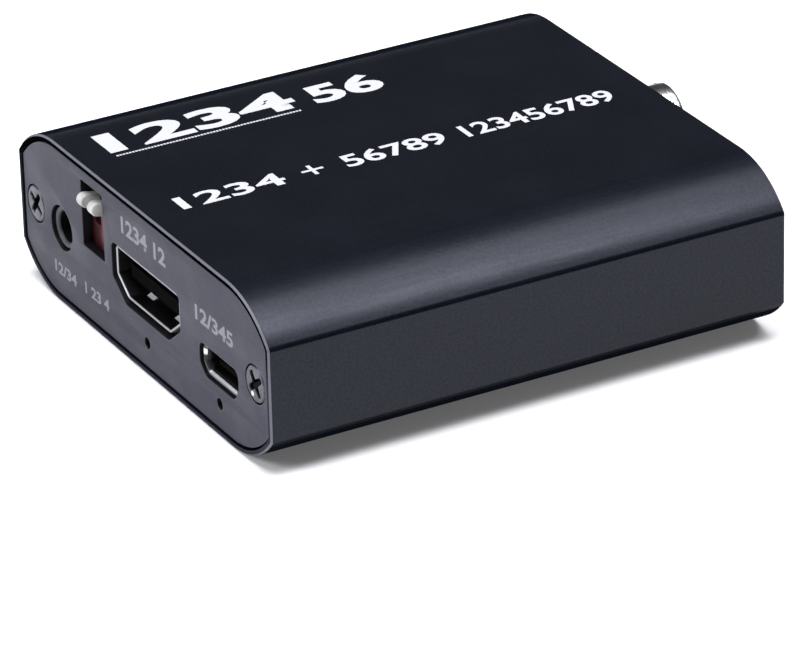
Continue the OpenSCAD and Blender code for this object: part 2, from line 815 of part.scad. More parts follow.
module usb_tongue() {
    color("black")
    usb_place()
    difference() {
        union() {
            along_y(usb_len - usb_block_len, usb_len)
                polygon(socket_points(usb_w, usb_h, usb_low_w, usb_slant_h, -usb_t - snug));
            translate([0, usb_tip_inset, usb_tongue_z - usb_tongue_t / 2])
                block(usb_tongue_w, usb_len - usb_tip_inset - usb_block_len / 2, usb_tongue_t);
        }
        usb_strips(snug);
    }
}

module usb_contacts() {
    color("gold")
    usb_place() usb_strips(0);
}

// Depth of the front of the jack's body, measured from the collar's face
jack_body_y = plate_t - jack_recess + board_end_gap;

module headphone_jack_body() {
    color("black")
    on_front(jack_x, jack_recess)
    difference() {
        union() {
            translate([0, jack_body_y, 0]) block(jack_w, jack_len, jack_h);
            translate([0, 0, jack_axis_h]) rod_y(jack_collar_d / 2, 0, jack_body_y + snug);
        }
        translate([0, 0, jack_axis_h]) {
            rod_y(jack_bore_d / 2, -overrun, jack_bore_len);
            cone_y(jack_bore_d / 2 + jack_lead, jack_bore_d / 2, 0, jack_lead);
        }
        for (side = [-1, 1])
            translate([side * (jack_w / 4 + overrun), jack_window_y, jack_axis_h - jack_window_h / 2])
                block(jack_w / 2 - 2 * jack_wall_t + 2 * overrun, jack_window_len, jack_window_h);
    }
}

// Leaf spring in a side window: anchored at the back, bowed in towards the bore
module jack_spring(side) {
    inner = jack_bore_d / 2 + 2 * snug;
    outer = jack_w / 2 - jack_spring_t;
    back_y = jack_window_y + jack_window_len - 2 * snug;
    dip_y = jack_window_y + jack_window_len * (1 - jack_spring_dip_share);
    translate([0, 0, jack_axis_h - jack_window_h / 2 + 2 * snug])
        linear_extrude(jack_window_h - 4 * snug)
        polygon([
            [side * outer, back_y], [side * (outer + jack_spring_t), back_y],
            [side * (inner + jack_spring_t), dip_y],
            [side * (outer + jack_spring_t), jack_window_y + 2 * snug],
            [side * outer, jack_window_y + 2 * snug],
            [side * inner, dip_y]
        ]);
}

module headphone_jack_contacts() {
    color("gold")
    on_front(jack_x, jack_recess)
    for (side = [-1, 1]) jack_spring(side);
}

module dip_switch_body() {
    color("darkred")
    translate([dip_x, -dip_front_y, board_top])
    difference() {
        block(dip_w, dip_len, dip_h);
        for (side = [-1, 1])
            translate([side * key_pitch / 2, -overrun, key_pivot_h - key_room_low])
                block(key_w + 2 * key_side_play,
                      overrun + key_pivot_deep + key_hub_r + key_side_play,
                      key_room_low + key_room_top);
        translate([0, key_pivot_deep, key_pivot_h])
            rod_x(key_stub_d / 2 + running,
                  key_pitch + key_w + 2 * (key_stub_len + key_stub_gap));
    }
}

module dip_switch_pins() {
    color("silver")
    translate([dip_x, -dip_front_y, board_top]) switch_pins(0);
}

// Rocker key: a hub on two stubs, and an arm with a round tip, raised by key_lift
module key(side) {
    color("white")
    translate([dip_x + side * key_pitch / 2, key_pivot_deep - dip_front_y, board_top + key_pivot_h])
    rotate([-key_lift, 0, 0]) {
        rod_x(key_hub_r, key_w);
        rod_x(key_stub_d / 2, key_w + 2 * key_stub_len);
        translate([0, key_h / 2 - key_arm_len, -key_h / 2]) block(key_w, key_arm_len - key_h / 2, key_h);
        translate([0, key_h / 2 - key_arm_len, 0]) rod_x(key_h / 2, key_w);
    }
}

module dip_lever_1() {
    key(-1);
}

module dip_lever_2() {
    key(1);
}

// RCA jack: a moulded block on the board, a plated barrel, a coloured insulator and a contact
module rca_housing() {
    color("black")
    translate([rca_x, 0, 0])
    difference() {
        translate([0, rca_block_y - rca_flange_t - rca_block_len, board_top])
            block(rca_block_w, rca_block_len, rca_block_h);
        translate([0, 0, rca_z])
            rod_y(rca_bore_r - snug, rca_block_y - rca_flange_t - rca_block_len / 2, face_y);
    }
}

module rca_barrel() {
    color("silver")
    translate([rca_x, 0, rca_z])
    rotate([-90, 0, 0])
    rotate_extrude()
    polygon([
        [rca_bore_r, rca_block_y - rca_flange_t], [rca_flange_d / 2, rca_block_y - rca_flange_t],
        [rca_flange_d / 2, rca_block_y], [rca_d / 2, rca_block_y],
        [rca_d / 2, rca_rim_y - rca_rim_r], [rca_d / 2 - rca_rim_r, rca_rim_y],
        [rca_bore_r + rca_rim_r / 2, rca_rim_y], [rca_bore_r, rca_rim_y - rca_rim_r / 2]
    ]);
}

// The contact's bore and seat, measured from the insulator's face
rca_face_y = rca_rim_y - rca_face_inset;
rca_contact_y = rca_face_y - rca_funnel_deep;
rca_contact_r = rca_pin_hole_d / 2 + rca_contact_t;

module rca_insulator() {
    color("gold")
    translate([rca_x, 0, rca_z])
    difference() {
        rod_y(rca_bore_r - 2 * snug, rca_block_y - rca_flange_t - rca_block_len / 2, rca_face_y);
        cone_y(rca_pin_hole_d / 2 + snug, rca_funnel_d / 2, rca_contact_y, rca_face_y);
        rod_y(rca_contact_r + snug, rca_contact_y - rca_contact_len - snug, rca_contact_y);
    }
}

module rca_centre_contact() {
    color("silver")
    translate([rca_x, 0, rca_z])
    difference() {
        rod_y(rca_contact_r, rca_contact_y - rca_contact_len, rca_contact_y - snug);
        rod_y(rca_pin_hole_d / 2, rca_contact_y - rca_contact_len + rca_contact_t, rca_contact_y + overrun);
        translate([0, rca_contact_y - 2 * rca_contact_len / 3, -rca_slit_w / 2])
            block(2 * rca_contact_r + overrun, rca_contact_len, rca_slit_w);
    }
}

// Optical port: a housing with a lip round its mouth, a room for the plug and a hole for its tip
module optical_housing() {
    color("black")
    on_rear(optical_x, optical_recess)
    difference() {
        block(optical_w, optical_len, optical_h);
        translate([0, -overrun, mouth_low]) block(mouth_w, mouth_lip_t + 2 * overrun, mouth_h);
        translate([0, mouth_lip_t, room_low]) block(room_w, room_len, room_h);
        translate([0, 0, optical_h / 2])
            rod_y(tip_hole_d / 2, mouth_lip_t, mouth_lip_t + room_len + room_wall_t + overrun);
        translate([0, mouth_lip_t + room_len + room_wall_t, room_low + room_h / 6])
            block(2 * room_w / 3, optical_len, 2 * room_h / 3);
        translate([0, pin_y, pin_z]) rod_x(flap_pin_d / 2 + snug, (optical_w + room_w) / 2);
    }
}

// Flap hanging from its pin; its knuckle leaves room for the spring at one end
module optical_shutter() {
    color("black")
    on_rear(optical_x, optical_recess)
    translate([0, pin_y, pin_z])
    difference() {
        union() {
            translate([spring_room / 2, 0, 0]) rod_x(knuckle_r, flap_w - spring_room);
            translate([0, -knuckle_r, flap_gap + room_low - pin_z])
                block(flap_w, flap_t, pin_z - room_low - flap_gap);
        }
        rod_x(flap_pin_d / 2 + running, flap_w + overrun);
        translate([spring_room / 2 - flap_w / 2, -knuckle_r - overrun, -2 * knuckle_r])
            block(spring_room + snug, 2 * (knuckle_r + overrun), 4 * knuckle_r);
    }
}

module optical_shutter_pin() {
    color("silver")
    on_rear(optical_x, optical_recess)
    translate([0, pin_y, pin_z]) rod_x(flap_pin_d / 2, (optical_w + room_w) / 2 - 2 * snug);
}

// Torsion spring wound round the pin, as rings of points: a leg along the ceiling, the coil,
// and a short foot behind the flap
function spring_ring(along, turn, slide) = [
    for (k = [0 : spring_sides - 1])
        let (out = spring_mean_r + spring_wire_d / 2 * cos(360 * k / spring_sides))
        let (side = spring_wire_d / 2 * sin(360 * k / spring_sides))
        [
            along + side,
            out * cos(turn) - slide * sin(turn),
            out * sin(turn) + slide * cos(turn)
        ]
];
spring_steps = spring_turns * spring_turn_rings + spring_turn_rings / 4;
spring_rings = concat(
    [spring_ring(0, 90, -spring_leg_len)],
    [for (i = [0 : spring_steps])
        spring_ring(spring_rise * i / spring_turn_rings, 90 + 360 * i / spring_turn_rings, 0)],
    [spring_ring(spring_rise * spring_steps / spring_turn_rings,
                 90 + 360 * spring_steps / spring_turn_rings, spring_foot_len)]
);

module optical_shutter_spring() {
    points = [for (ring = spring_rings) each ring];
    last = len(spring_rings) - 1;
    faces = concat(
        [for (i = [0 : last - 1], k = [0 : spring_sides - 1])
            [i * spring_sides + k, i * spring_sides + (k + 1) % spring_sides,
             (i + 1) * spring_sides + (k + 1) % spring_sides]],
        [for (i = [0 : last - 1], k = [0 : spring_sides - 1])
            [i * spring_sides + k, (i + 1) * spring_sides + (k + 1) % spring_sides,
             (i + 1) * spring_sides + k]],
        [[for (k = [spring_sides - 1 : -1 : 0]) k]],
        [[for (k = [0 : spring_sides - 1]) last * spring_sides + k]]
    );
    color("silver")
    on_rear(optical_x, optical_recess)
    translate([flap_gap + spring_wire_d / 2 - flap_w / 2, pin_y, pin_z])
        polyhedron(points = points, faces = faces, convexity = 8);
}

module optical_emitter() {
    emitter_y = mouth_lip_t + room_len + room_wall_t + emitter_gap;
    emitter_w = 2 * room_w / 3 - 2 * emitter_gap;
    emitter_h = 2 * room_h / 3 - 2 * emitter_gap;
    color("darkslategray")
    on_rear(optical_x, optical_recess) {
        translate([0, emitter_y, room_low + room_h / 6 + emitter_gap])
            block(emitter_w, optical_len - emitter_y, emitter_h);
    }
}

// Lamps under the board, looking out through their holes
module lamp() {
    lamp_len = lamp_h / 2;
    difference() {
        translate([0, 0, -board_t - lamp_h]) block(lamp_w, lamp_len, lamp_h);
        translate([0, 0, lamp_hole_z - board_top])
            rod_y(lamp_hole_d / 3, -overrun, lamp_len / 6);
    }
}

module status_lamps() {
    color("whitesmoke") {
        on_front(lamp_hole_x, plate_t + board_end_gap) lamp();
        on_front(lamp_hole_2_x, plate_t + board_end_gap) lamp();
        on_rear(rear_lamp_x, plate_t + board_end_gap) lamp();
    }
}

// Gull-wing lead in Y and Z, leaving a chip's side at y = 0
lead_reach = 1;
lead_t = 0.15;
lead_w = 0.3;
chip_foot = 0.1;
module lead() {
    exit_z = chip_foot + chip_t / 2 - lead_t / 2;
    along_x(lead_w)
        polygon([
            [-lead_t, exit_z], [lead_reach / 3, exit_z], [lead_reach / 3, 0], [lead_reach, 0],
            [lead_reach, lead_t], [lead_reach / 3 + lead_t, lead_t],
            [lead_reach / 3 + lead_t, exit_z + lead_t], [-lead_t, exit_z + lead_t]
        ]);
}

// Chip body of w by length with leads on its sides; leads_w are on the ends, leads_len on the sides
module chip(shares, w, length, pitch, on_ends) {
    side_leads = floor((length - pitch) / pitch);
    on_board(shares) {
        translate([0, -length / 2, chip_foot]) block(w, length, chip_t);
        for (i = [0 : side_leads], turn = [90, 270])
            translate([turn == 90 ? -w / 2 : w / 2, (i - side_leads / 2) * pitch, 0])
                rotate([0, 0, turn]) lead();
        if (on_ends)
            for (i = [0 : side_leads], turn = [0, 180])
                translate([(i - side_leads / 2) * pitch, turn == 0 ? length / 2 : -length / 2, 0])
                    rotate([0, 0, turn]) lead();
    }
}

main_pitch = 0.8;
small_pitch = 1.27;

module main_chip() {
    color("black")
    chip(main_chip_shares, main_chip_w, main_chip_w, main_pitch, true);
}

module audio_chip() {
    color("black")
    chip(audio_chip_shares, small_chip_w, audio_chip_len, small_pitch, false);
}

module memory_chip() {
    color("black")
    chip(memory_chip_shares, small_chip_w, memory_chip_len, small_pitch, false);
}

// Regulator with a wide tab on one side and three leads on the other
regulator_w = 3.5;
regulator_len = 6.5;
regulator_tab = 3;
regulator_pitch = 2.3;
module voltage_regulator() {
    color("black")
    on_board(regulator_shares) {
        translate([0, -regulator_len / 2, chip_foot]) block(regulator_w, regulator_len, chip_t);
        translate([-regulator_w / 2 - lead_reach, -regulator_tab / 2, 0])
            cube([2 * lead_reach, regulator_tab, chip_foot + lead_t]);
        for (i = [-1 : 1])
            translate([regulator_w / 2, i * regulator_pitch, 0]) rotate([0, 0, 270]) lead();
    }
}

// Crystal can: an oblong can on a wider foot
crystal_foot_t = 0.4;
crystal_foot_w = 0.5;
module crystal() {
    straight = crystal_len - crystal_w;
    color("silver")
    on_board(crystal_shares)
    for (layer = [[crystal_w / 2 + crystal_foot_w / 2, crystal_foot_t], [crystal_w / 2, crystal_h]]) {
        for (side = [-1, 1])
            translate([side * straight / 2, 0, 0]) cylinder(r = layer[0], h = layer[1]);
        translate([0, -layer[0], 0]) block(straight, 2 * layer[0], layer[1]);
    }
}

// Inductor: a square ferrite with a round core showing in its top
module inductor() {
    ring_r = inductor_w / 3;
    ring_w = inductor_w / 16;
    color("gray")
    on_board(inductor_shares)
    difference() {
        translate([0, -inductor_w / 2, 0]) block(inductor_w, inductor_w, inductor_h);
        translate([0, 0, inductor_h - ring_w])
            difference() {
                cylinder(r = ring_r + ring_w, h = overrun);
                cylinder(r = ring_r, h = overrun);
            }
    }
}

// Two round capacitors on square feet, and six small flat ones
can_foot_t = 0.9;
small_cap_w = 1.2;
small_cap_len = 2;
small_cap_h = 0.9;
module capacitors() {
    color("silver")
    for (shares = can_shares)
        on_board(shares) {
            translate([0, -can_d / 2, 0]) block(can_d, can_d, can_foot_t);
            cylinder(d = can_d - 2 * snug, h = can_h);
        }
    color("tan")
    for (shares = small_cap_shares)
        on_board(shares) block(small_cap_w, small_cap_len, small_cap_h);
}

case_shell();
front_plate();
rear_plate();
front_screws();
rear_screws();
circuit_board();
hdmi_in_shell();
hdmi_in_tongue();
hdmi_in_contacts();
hdmi_out_shell();
hdmi_out_tongue();
hdmi_out_contacts();
usb_shell();
usb_tongue();
usb_contacts();
headphone_jack_body();
headphone_jack_contacts();
dip_switch_body();
dip_switch_pins();
dip_lever_1();
dip_lever_2();
rca_housing();
rca_barrel();
rca_insulator();
rca_centre_contact();
optical_housing();
optical_shutter();
optical_shutter_pin();
optical_shutter_spring();
optical_emitter();
status_lamps();
main_chip();
audio_chip();
memory_chip();
voltage_regulator();
crystal();
inductor();
capacitors();
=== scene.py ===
# The looks of the audio extractor box: detailed pieces, materials, light and camera.
import math

import bmesh
import bpy
import numpy as np
from mathutils import Matrix, Vector
from mathutils.geometry import tessellate_polygon


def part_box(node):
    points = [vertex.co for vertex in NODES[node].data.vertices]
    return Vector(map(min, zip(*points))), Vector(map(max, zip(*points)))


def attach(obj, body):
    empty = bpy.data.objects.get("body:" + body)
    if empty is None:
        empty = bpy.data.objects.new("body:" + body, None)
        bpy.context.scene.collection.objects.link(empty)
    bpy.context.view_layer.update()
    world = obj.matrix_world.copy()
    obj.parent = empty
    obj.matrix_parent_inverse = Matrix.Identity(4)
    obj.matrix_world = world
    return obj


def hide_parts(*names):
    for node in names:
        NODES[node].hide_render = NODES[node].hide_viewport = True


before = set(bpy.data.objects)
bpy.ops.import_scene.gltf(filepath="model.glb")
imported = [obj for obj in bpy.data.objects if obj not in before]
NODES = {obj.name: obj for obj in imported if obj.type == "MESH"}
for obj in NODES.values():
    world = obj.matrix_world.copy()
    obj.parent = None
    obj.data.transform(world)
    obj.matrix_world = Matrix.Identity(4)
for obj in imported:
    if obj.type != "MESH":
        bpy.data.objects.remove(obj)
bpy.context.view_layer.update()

MM = 0.001

# Sizes of the CAD model, in millimetres
FACE_Y, PLATE_BACK_Y = 30.85, 29.65
HALF_W, BODY_H = 29.1, 19.2
SHOULDER_R, ARC_X = 11.4, 20.181
CREASE_Z = 14.9
BOARD_TOP, BOARD_T = 6.7, 1.6
SCREW_X, SCREW_Z = 25.6, 9.6
HDMI = dict(w=15, h=5.5, low=9.8, slant=2, t=0.35, length=11.8, recess=0.5, hole=0.45)
USB = dict(w=7.5, h=2.45, low=5.9, slant=0.9, t=0.25, length=5.6, recess=0.4, hole=0.2, lip=0.42, sink=0.45)
HDMI_IN_X, HDMI_HOLE_SHIFT, HDMI_OUT_X = 0.5, 0.35, 14.8
USB_X = 17.4
JACK_X, JACK_Z, JACK_AXIS_H = -19.3, 9.15, 2.45
RCA_X, RCA_Z = -3.3, 12.2
LAMP_Z, FRONT_LAMPS_X, REAR_LAMP_X = 3.7, (0.7, 17.3), 14.9
SCREW_HOLE_R, JACK_HOLE_R, RCA_HOLE_R, LAMP_HOLE_R = 2.2, 2.6, 4.8, 0.65
# Rectangular holes: x and z of two opposite corners, radius of the corners
SWITCH_HOLE = (-14.0, 9.34, -8.8, 17.14, 0.25)
OPTICAL_HOLE = (-22.1, 6.3, -11.5, 16.9, 0.5)
PLATE_INSET = 0.85
PRINT_LIFT = 0.006

# Points on each rounded corner and on each shoulder of the case
CORNER_STEPS, SHOULDER_STEPS = 6, 28


# Outlines

def rounded(points, radius):
    """The closed outline with each corner rounded; radius is one number or one for each corner."""
    n = len(points)
    radii = [radius] * n if isinstance(radius, (int, float)) else radius
    out = []
    for i in range(n):
        here, before, after = (Vector(points[j]) for j in (i, i - 1, (i + 1) % n))
        a, b = (before - here).normalized(), (after - here).normalized()
        half = a.angle(b) / 2
        r = max(radii[i], 1e-4)
        reach = min(r / math.tan(half), 0.49 * (before - here).length, 0.49 * (after - here).length)
        r = reach * math.tan(half)
        centre = here + (a + b).normalized() * (r / math.sin(half))
        start, end = here + a * reach - centre, here + b * reach - centre
        turn = start.angle(end)
        sign = 1 if start.x * end.y - start.y * end.x > 0 else -1
        for k in range(CORNER_STEPS + 1):
            c, s = math.cos(sign * turn * k / CORNER_STEPS), math.sin(sign * turn * k / CORNER_STEPS)
            out.append((centre.x + start.x * c - start.y * s, centre.y + start.x * s + start.y * c))
    return out


def socket_outline(size, grow, corners):
    """Outline of a socket in X and Z, its lower side on z = 0, grown outwards."""
    w, h, low, slant = size["w"], size["h"], size["low"], size["slant"]
    slope = math.atan2(slant, (w - low) / 2)
    low_half = low / 2 + grow * math.tan(slope / 2)
    half = w / 2 + grow
    corner = slant - grow * math.tan((math.pi / 2 - slope) / 2)
    points = [(-low_half, -grow), (low_half, -grow), (half, corner),
              (half, h + grow), (-half, h + grow), (-half, corner)]
    return rounded(points, [max(r + grow, 0.05) for r in corners])


def circle(x, z, r, steps=64):
    return [(x + r * math.cos(2 * math.pi * k / steps), z + r * math.sin(2 * math.pi * k / steps))
            for k in range(steps)]


def case_outline(inset):
    """Outline of the case moved inwards, counterclockwise in X and Z."""
    r = SHOULDER_R - inset
    half = HALF_W - inset
    limit = math.acos((half - ARC_X) / r)
    low_z, high_z = SHOULDER_R, BODY_H - SHOULDER_R
    points = []
    for sx, cz, a0, a1 in ((1, high_z, limit, math.pi / 2), (-1, high_z, math.pi / 2, math.pi - limit),
                           (-1, low_z, math.pi + limit, 3 * math.pi / 2),
                           (1, low_z, 3 * math.pi / 2, 2 * math.pi - limit)):
        for k in range(SHOULDER_STEPS + 1):
            a = a0 + (a1 - a0) * k / SHOULDER_STEPS
            points.append((sx * ARC_X + r * math.cos(a), cz + r * math.sin(a)))
    return points


# Meshes and objects

def add_object(name, data):
    obj = bpy.data.objects.new(name, data)
    bpy.context.scene.collection.objects.link(obj)
    return obj


def edit(mesh, change):
    """Opens the mesh as a bmesh, lets change work on it, and writes it back."""
    bm = bmesh.new()
    bm.from_mesh(mesh)
    change(bm)
    bm.to_mesh(mesh)
    bm.free()


def turn_outwards(bm):
    bmesh.ops.recalc_face_normals(bm, faces=bm.faces)


def smooth(mesh, angle):
    """Smooth faces, with sharp edges where they meet at more than angle degrees."""
    mesh.shade_smooth()
    mesh.set_sharp_from_angle(angle=math.radians(angle))


def use_material(mesh, material):
    """Puts one material in place of all; the faces' material numbers go to 0."""
    mesh.materials.clear()
    mesh.materials.append(material)


class Mesh:
    """Collects parts of one piece in millimetres; every part has a material number."""

    def __init__(self):
        self.verts, self.faces, self.mats = [], [], []

    def add(self, verts, faces, mat=0):
        base = len(self.verts)
        self.verts += [tuple(v) for v in verts]
        self.faces += [tuple(base + i for i in f) for f in faces]
        self.mats += [mat] * len(faces) if isinstance(mat, int) else list(mat)

    def loft(self, rings, mat=0, closed=False, caps=(False, False)):
        """Faces between rings of as many points each; closed joins the last ring to the first."""
        n = len(rings[0])
        verts = [p for ring in rings for p in ring]
        count = len(rings)
        faces, mats = [], []
        for i in range(count if closed else count - 1):
            j = (i + 1) % count
            for k in range(n):
                m = (k + 1) % n
                faces.append((i * n + k, i * n + m, j * n + m, j * n + k))
                mats.append(mat if isinstance(mat, int) else mat[i])
        if caps[0]:
            faces.append(tuple(reversed(range(n))))
            mats.append(mat if isinstance(mat, int) else mat[0])
        if caps[1]:
            faces.append(tuple((count - 1) * n + k for k in range(n)))
            mats.append(mat if isinstance(mat, int) else mat[-1])
        self.add(verts, faces, mats)

    def lathe(self, profile, centre, segments, mat=0, closed=False):
        """Turns (radius, y) points round an axis along Y through centre (x, z)."""
        rings = [[(x, y, z) for x, z in circle(*centre, r, segments)] for r, y in profile]
        self.loft(rings, mat, closed)

    def box(self, low, high, bevel, mat=0):
        """A box with rounded edges."""
        bm = bmesh.new()
        bmesh.ops.create_cube(bm, size=1)
        size = [high[i] - low[i] for i in range(3)]
        mid = [(high[i] + low[i]) / 2 for i in range(3)]
        for v in bm.verts:
            v.co = Vector([v.co[i] * size[i] + mid[i] for i in range(3)])
        bmesh.ops.bevel(bm, geom=list(bm.edges), offset=min(bevel, 0.45 * min(size)),
                        segments=3, profile=0.5, affect="EDGES")
        bm.verts.index_update()
        self.add([v.co for v in bm.verts], [[v.index for v in f.verts] for f in bm.faces], mat)
        bm.free()

    def moved(self, place):
        self.verts = [tuple(place(v)) for v in self.verts]
        return self

    def build(self, name, materials, slot, replaces, angle=32, recalc=True):
        """Makes the piece on the fixed body."""
        mesh = bpy.data.meshes.new(name)
        mesh.from_pydata([[c * MM for c in v] for v in self.verts], [], self.faces)
        mesh.polygons.foreach_set("material_index", self.mats)
        for material in materials:
            mesh.materials.append(material)
        if recalc:
            edit(mesh, turn_outwards)
        smooth(mesh, angle)
        return finish_piece(add_object(name, mesh), "box", replaces)


def finish_piece(obj, body, replaces):
    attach(obj, body)
    if replaces:
        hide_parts(*replaces)
    return obj


def front_place(x, recess, sink=0):
    """From a socket's own frame (mouth at y = 0, lower side at z = 0) to behind the input plate."""
    return lambda v: (v[0] + x, v[1] + recess - FACE_Y, v[2] + BOARD_TOP - sink)


def rear_place(x, recess):
    """The same, to behind the output plate."""
    return lambda v: (x - v[0], FACE_Y - recess - v[1], v[2] + BOARD_TOP)


def softened(node, name, material, width, body="box", segments=2):
    """A copy of a CAD node with its sharp edges rounded, standing for that node."""
    def round_edges(bm):
        bmesh.ops.remove_doubles(bm, verts=bm.verts, dist=2e-6)
        bmesh.ops.dissolve_limit(bm, angle_limit=math.radians(1), verts=bm.verts, edges=bm.edges)
        turn_outwards(bm)
        sharp = [e for e in bm.edges if len(e.link_faces) == 2
                 and e.calc_face_angle(0) > math.radians(30)]
        bmesh.ops.bevel(bm, geom=sharp, offset=width * MM, segments=segments, profile=0.5,
                        affect="EDGES", clamp_overlap=True)

    mesh = NODES[node].data.copy()
    mesh.name = name
    edit(mesh, round_edges)
    use_material(mesh, material)
    smooth(mesh, 35)
    finish_piece(add_object(name, mesh), body, [node])


# Materials

class Shade:
    """A small helper that builds one node material."""

    def __init__(self, name, colour, metallic=0.0, roughness=0.5, specular=0.5):
        self.material = bpy.data.materials.new(name)
        self.material.use_nodes = True
        self.tree = self.material.node_tree
        self.shader = self.tree.nodes["Principled BSDF"]
        self.set("Base Color", (*colour, 1))
        self.set("Metallic", metallic)
        self.set("Roughness", roughness)
        self.set("Specular IOR Level", specular)
        self.place = self.node("ShaderNodeTexCoord").outputs["Object"]
        self.colour = self.metal = self.rough = self.height = None

    def set(self, socket, value):
        self.shader.inputs[socket].default_value = value

    def node(self, kind, **values):
        node = self.tree.nodes.new(kind)
        for key, value in values.items():
            setattr(node, key, value)
        return node

    def link(self, a, b):
        self.tree.links.new(a, b)

    def feed(self, socket, value):
        if isinstance(value, (int, float)):
            socket.default_value = value
        elif isinstance(value, tuple):
            socket.default_value = value if len(value) == 4 else (*value, 1)
        else:
            self.link(value, socket)

    def math(self, kind, a, b=0.0, clamp=False):
        node = self.node("ShaderNodeMath", operation=kind, use_clamp=clamp)
        self.feed(node.inputs[0], a)
        self.feed(node.inputs[1], b)
        return node.outputs[0]

    def ramp(self, value, low, high, out_low=0.0, out_high=1.0):
        node = self.node("ShaderNodeMapRange", interpolation_type="SMOOTHSTEP")
        self.feed(node.inputs["Value"], value)
        for key, number in (("From Min", low), ("From Max", high), ("To Min", out_low), ("To Max", out_high)):
            node.inputs[key].default_value = number
        return node.outputs[0]

    def mix(self, factor, a, b, kind="RGBA"):
        """Mixes two colours."""
        node = self.node("ShaderNodeMix", data_type=kind)
        for key, value in (("Factor", factor), ("A", a), ("B", b)):
            self.feed(node.inputs[key], value)
        return node.outputs["Result"]

    def blend(self, factor, a, b):
        """Mixes two numbers."""
        return self.mix(factor, a, b, "FLOAT")

    def noise(self, size, detail=2.0, stretch=(1, 1, 1), rough=0.5):
        """Noise whose grains are about size millimetres across, drawn out along stretch."""
        mapping = self.node("ShaderNodeMapping")
        self.link(self.place, mapping.inputs["Vector"])
        mapping.inputs["Scale"].default_value = [1 / (size * MM * s) for s in stretch]
        node = self.node("ShaderNodeTexNoise")
        self.link(mapping.outputs[0], node.inputs["Vector"])
        node.inputs["Scale"].default_value = 1.0
        node.inputs["Detail"].default_value = detail
        node.inputs["Roughness"].default_value = rough
        return node.outputs["Fac"]

    def cells(self, size):
        node = self.node("ShaderNodeTexVoronoi", feature="F1")
        self.link(self.place, node.inputs["Vector"])
        node.inputs["Scale"].default_value = 1 / (size * MM)
        return node.outputs["Distance"]

    def axes(self, vector=None):
        node = self.node("ShaderNodeSeparateXYZ")
        self.link(self.place if vector is None else vector, node.inputs[0])
        return node.outputs

    def normal(self):
        node = self.node("ShaderNodeNewGeometry")
        return self.axes(node.outputs["Normal"])

    def spot(self, u, v, reach, fade):
        """1 within fade millimetres of a place in X and Z, 0 beyond reach."""
        x, _, z = self.axes()
        squares = [self.math("POWER", self.math("SUBTRACT", axis, place * MM), 2.0)
                   for axis, place in ((x, u), (z, v))]
        return self.ramp(self.math("SQRT", self.math("ADD", *squares)), reach * MM, fade * MM)

    def finish(self, bump=0.0, distance=0.02, soft_edge=0.0):
        """Links what was collected to the shader; distance is the bump's height in millimetres."""
        for socket, value in (("Base Color", self.colour), ("Roughness", self.rough),
                              ("Metallic", self.metal)):
            if value is not None:
                self.link(value, self.shader.inputs[socket])
        normal = None
        if soft_edge:
            bevel = self.node("ShaderNodeBevel", samples=6)
            bevel.inputs["Radius"].default_value = soft_edge * MM
            normal = bevel.outputs[0]
        if bump and self.height is not None:
            node = self.node("ShaderNodeBump")
            node.inputs["Strength"].default_value = bump
            node.inputs["Distance"].default_value = distance * MM
            self.link(self.height, node.inputs["Height"])
            if normal is not None:
                self.link(normal, node.inputs["Normal"])
            normal = node.outputs[0]
        if normal is not None:
            self.link(normal, self.shader.inputs["Normal"])
        return self.material


def anodised_case():
    s = Shade("anodised_black", (0.0095, 0.0105, 0.0135), roughness=0.32, specular=0.25)
    s.set("Specular Tint", (0.79, 0.84, 0.99, 1))
    grain = s.noise(0.24, 3, rough=0.7)
    cloud = s.noise(9, 3)
    lines = s.noise(0.35, 2, stretch=(1, 60, 1))
    dark = s.mix(s.ramp(grain, 0.3, 0.7), (0.0024, 0.003, 0.0056), (0.0052, 0.0064, 0.0104))
    dark = s.mix(s.math("MULTIPLY", s.ramp(cloud, 0.35, 0.75), 0.35), dark, (0.0057, 0.0069, 0.0112))
    # the anodising is cut away to a pale line on the rims' chamfers
    facing = s.math("ABSOLUTE", s.normal()[1])
    bevel = s.math("MULTIPLY", s.ramp(facing, 0.3, 0.45), s.ramp(facing, 0.93, 0.82))
    x, y, z = s.axes()
    far = s.ramp(s.math("ABSOLUTE", y), 30.74 * MM, 30.78 * MM)
    bare = s.math("MULTIPLY", bevel, far)
    # and the cut faces of the rims carry painted shade, near black at the top and paler towards the bottom
    flat = s.math("MULTIPLY", s.ramp(facing, 0.93, 0.98), far)
    dark = s.mix(flat, dark, s.mix(s.ramp(z, 15 * MM, 9 * MM), (0.001, 0.001, 0.0015), (0.035, 0.036, 0.05)))
    # a dark line along the crease under each upper shoulder
    line = s.ramp(s.math("ABSOLUTE", s.math("SUBTRACT", z, CREASE_Z * MM)), 0.36 * MM, 0.1 * MM)
    crease = s.math("MULTIPLY", line, s.ramp(s.math("ABSOLUTE", x), 28.8 * MM, 28.9 * MM))
    dull = s.math("MAXIMUM", flat, crease)
    s.colour = s.mix(bare, dark, (0.14, 0.143, 0.168))
    s.metal = s.math("MULTIPLY", bare, 0.25)
    rough = s.ramp(s.math("ADD", s.math("MULTIPLY", cloud, 0.5), s.math("MULTIPLY", lines, 0.5)),
                   0.3, 0.7, 0.29, 0.36)
    s.rough = s.blend(dull, s.blend(bare, rough, 0.5), 1.0)
    # the fine blasted skin sparkles, and loses its gloss where it is seen edge on
    weight = s.node("ShaderNodeLayerWeight")
    weight.inputs["Blend"].default_value = 0.5
    gloss = s.ramp(s.noise(0.3, 2, rough=0.6), 0.3, 0.7, 0.215, 0.28)
    gloss = s.blend(s.ramp(weight.outputs["Facing"], 0.5, 0.76), gloss, 0.0)
    gloss = s.blend(dull, gloss, 0.0)
    s.link(gloss, s.shader.inputs["Specular IOR Level"])
    s.height = s.math("ADD", grain, s.math("MULTIPLY", lines, 0.12))
    return s.finish(bump=0.7, distance=0.02, soft_edge=0.14)


